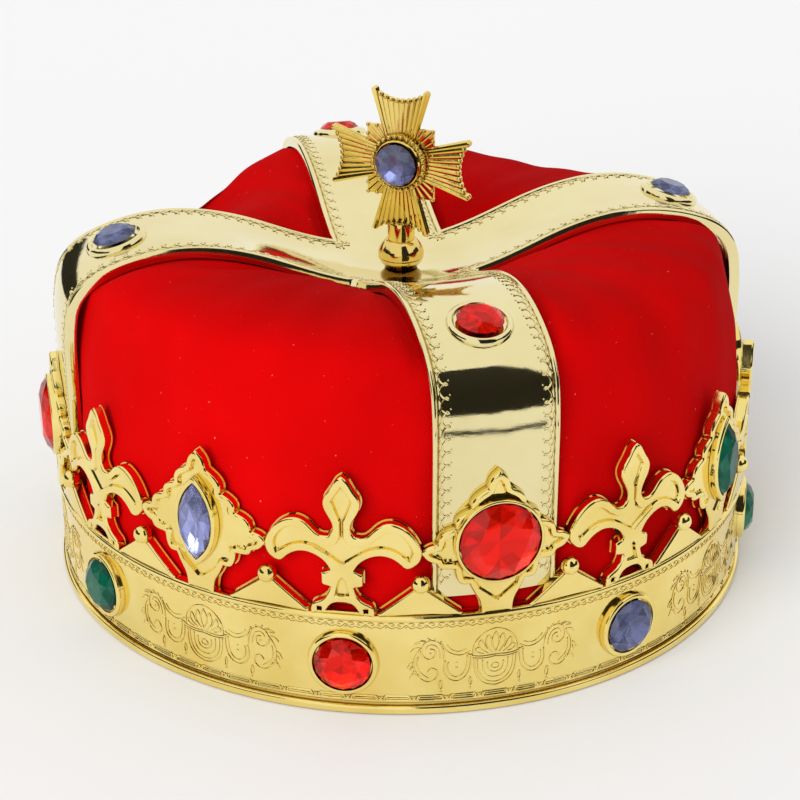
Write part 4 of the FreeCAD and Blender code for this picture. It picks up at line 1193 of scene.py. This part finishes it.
def room_inside_arch(points):
    """How far each (r, z) point lies inside the arches' side line. It is negative outside it."""
    foot = [(ARCH_RADIUS, z) for z in np.arange(ARCH_SPRING - 1, ARCH_FOOT, -1.0)]
    line = np.concatenate([ARCH_LINE, foot])
    normals = line_normals(line)
    nearest = np.argmin(np.linalg.norm(points[:, None] - line[None], axis=2), axis=1)
    return -((points - line[nearest]) * normals[nearest]).sum(1)


def cap_slack(angles, r, z, beside):
    """How far the cloth falls inside its fullest line, by azimuth and by distance from an arch."""
    turn = np.degrees(angles)
    # The pockets that the photo shows at the back.
    back_left = 12.0 * bell(turn, 243, 18) + 12.0 * bell(turn, 217, 17)
    back_right = 5.6 * bell(turn, 136, 32)
    shoulder = smooth_step((r - 35) / 35) * smooth_step((z - 40) / 30)
    folds = 0.3 * np.sin(11 * angles + 0.08 * z) + 0.2 * np.sin(29 * angles + 1.3 - 0.05 * z)
    folds = folds + 0.25 * np.sin(47 * angles + 0.4) * smooth_step((44 - z) / 20)
    # Beside the left arch the cloth dips and comes up again in a soft crest.
    crest = bell(turn, 300, 22) * smooth_step((r - 14) / 14) * smooth_step((74 - r) / 24)
    dip = 1.7 * bell(beside, 4.5, 2.2) - 0.5 * bell(beside, 9.5, 2.0)
    swell = smooth_step((r - 15) / 40)
    clear_of_plates = 0.5 + 0.5 * smooth_step((72 - z) / 10)
    return (back_left + back_right) * shoulder + clear_of_plates + folds * swell + crest * dip


def make_cap():
    """The cloth cap: full between the arches, held down under them, with soft folds."""
    line = spline(CAP_LINE, 1.5, start=(1, 0), end=(0, -1))
    wall = [(CAP_LINE[-1][0] - 0.2 * smooth_step((CAP_SPRING - z) / 12), z)
            for z in [*np.arange(CAP_SPRING - 1.6, CAP_HEM, -1.6), CAP_HEM]]
    line = np.concatenate([line, wall])
    columns = 320
    angles = np.arange(columns) * 2 * math.pi / columns
    rows = []
    for (r, z), (nr, nz), room in zip(line, line_normals(line), room_inside_arch(line)):
        across = r * np.minimum(np.abs(np.sin(angles)), np.abs(np.cos(angles)))
        beside = across - ARCH_HALF_WIDTH
        held = (1 - smooth_step((beside + 0.5) / 6)) * smooth_step((z - 25) / 8)
        slack = cap_slack(angles, r, z, beside)
        offset = -np.maximum(slack, held * max(CAP_UNDER_ARCH - room, 0.0))
        reach = r + nr * offset
        rows.append(np.stack([reach * np.sin(angles), -reach * np.cos(angles), z + nz * offset], 1))
    top = rows[0].mean(0)
    points = np.concatenate([[top], *rows[1:]])
    faces = [(0, 1 + k, 1 + (k + 1) % columns) for k in range(columns)]
    faces += [tuple(i + 1 for i in face[::-1]) for face in grid_faces(len(rows) - 1, columns, closed=True)]
    cap = add_mesh("velvet_cap", points, faces, [VELVET], sharp=180)
    finish_piece(cap, "red_velvet", "velvet_cap")


# The room

# The one lamp, with its angles in degrees. The sky lights the rest and is brighter in mirrors.
LAMP_AZIMUTH, LAMP_ELEVATION, LAMP_SPREAD, LAMP_STRENGTH = -45, 24, 50, 2.9
FLOOR_HALF = 3000
SKY_LIGHT, SKY_IN_MIRRORS = 0.67, 0.96
# Dark cards that only the mirror-like gold shows: the point on the crown that each one faces,
# the azimuth from it and the distance, then the width, the low and the high edge.
CARDS = (
    ("card_front", (0, -92), 14, 200, 210, 45, 560),
    ("card_line", (0, -92), 14, 200, 150, 2, 12),
    ("card_right", (0, 0), 72, 620, 300, 60, 420),
    ("card_left", (-92, 0), -154, 500, 300, 10, 190),
    ("card_far_left", (0, 0), -88, 640, 260, 80, 430),
)
# Dark stretches of horizon beside the crown, from one azimuth to another.
HORIZONS = (("horizon_right", 22, 96), ("horizon_left", 236, 312))
HORIZON_RADIUS, HORIZON_LOW, HORIZON_HIGH, HORIZON_STEPS = 700.0, 110.0, 400.0, 25


def add_dark_card(name, points, faces, material):
    """A dark thing outside the picture that only mirrors show."""
    card = add_mesh(name, points, faces, [material])
    card.visible_camera = card.visible_diffuse = card.visible_shadow = card.visible_transmission = False


def make_room():
    """A pale floor that fades into the backdrop, the sky, the dark cards, a soft lamp and the camera."""
    square = ((-1, -1), (1, -1), (1, 1), (-1, 1))
    corners = [(x * FLOOR_HALF, y * FLOOR_HALF, 0) for x, y in square]
    floor = add_mesh("floor", corners, [(0, 1, 2, 3)], [plain_material("floor", (0.9, 0.9, 0.9), 0.9)])

    world = bpy.data.worlds.new("studio")
    bpy.context.scene.world = world
    world.use_nodes = True
    nodes = world.node_tree.nodes
    background = nodes["Background"]
    set_inputs(background, {"Color": (1, 1, 1, 1)})
    level = add_node(nodes, "MapRange", {"To Min": SKY_LIGHT, "To Max": SKY_IN_MIRRORS})
    wire(add_node(nodes, "LightPath"), "Is Glossy Ray", level, "Value")
    wire(level, "Result", background, "Strength")

    dark = plain_material("dark_card", (0.015, 0.014, 0.01), 1.0)
    for name, (x, y), azimuth, distance, width, low, high in CARDS:
        place = Matrix.Translation((x, y, 0)) @ Matrix.Rotation(math.radians(azimuth), 4, "Z")
        corners = [(side * width / 2, -distance, high if up > 0 else low) for side, up in square]
        add_dark_card(name, [tuple(place @ Vector(corner)) for corner in corners], [(0, 1, 2, 3)], dark)
    for name, first, last in HORIZONS:
        turns = np.radians(np.linspace(first, last, HORIZON_STEPS))
        x, y = HORIZON_RADIUS * np.sin(turns), -HORIZON_RADIUS * np.cos(turns)
        rows = [np.column_stack([x, y, np.full(HORIZON_STEPS, z)]) for z in (HORIZON_LOW, HORIZON_HIGH)]
        add_dark_card(name, np.concatenate(rows), grid_faces(2, HORIZON_STEPS), dark)

    sun = bpy.data.lights.new("key", "SUN")
    sun.angle = math.radians(LAMP_SPREAD)
    sun.energy = LAMP_STRENGTH
    lamp = add_object("key", sun)
    around = Matrix.Rotation(math.radians(LAMP_AZIMUTH), 4, "Z")
    lamp.rotation_euler = (around @ Matrix.Rotation(math.radians(90 - LAMP_ELEVATION), 4, "X")).to_euler()
    lamp.visible_glossy = False

    camera = bpy.data.cameras.new("camera")
    camera.lens = CAMERA_LENS
    camera.sensor_width = 36
    camera.shift_x = CAMERA_SHIFT
    camera.clip_start, camera.clip_end = 0.01, 20
    eye = add_object("camera", camera)
    azimuth, elevation = math.radians(CAMERA_AZIMUTH), math.radians(CAMERA_ELEVATION)
    flat = math.cos(elevation) * CAMERA_DISTANCE
    place = Vector((flat * math.sin(azimuth), -flat * math.cos(azimuth),
                    CAMERA_HEIGHT + math.sin(elevation) * CAMERA_DISTANCE)) * MM
    target = Vector((0, 0, CAMERA_HEIGHT * MM))
    eye.location = place
    eye.rotation_euler = (target - place).to_track_quat("-Z", "Y").to_euler()
    bpy.context.scene.camera = eye
    bpy.context.scene.view_settings.view_transform = "Standard"


make_band()
make_arches()
make_engraving()
make_finial()
make_gems()
make_cap()
make_room()
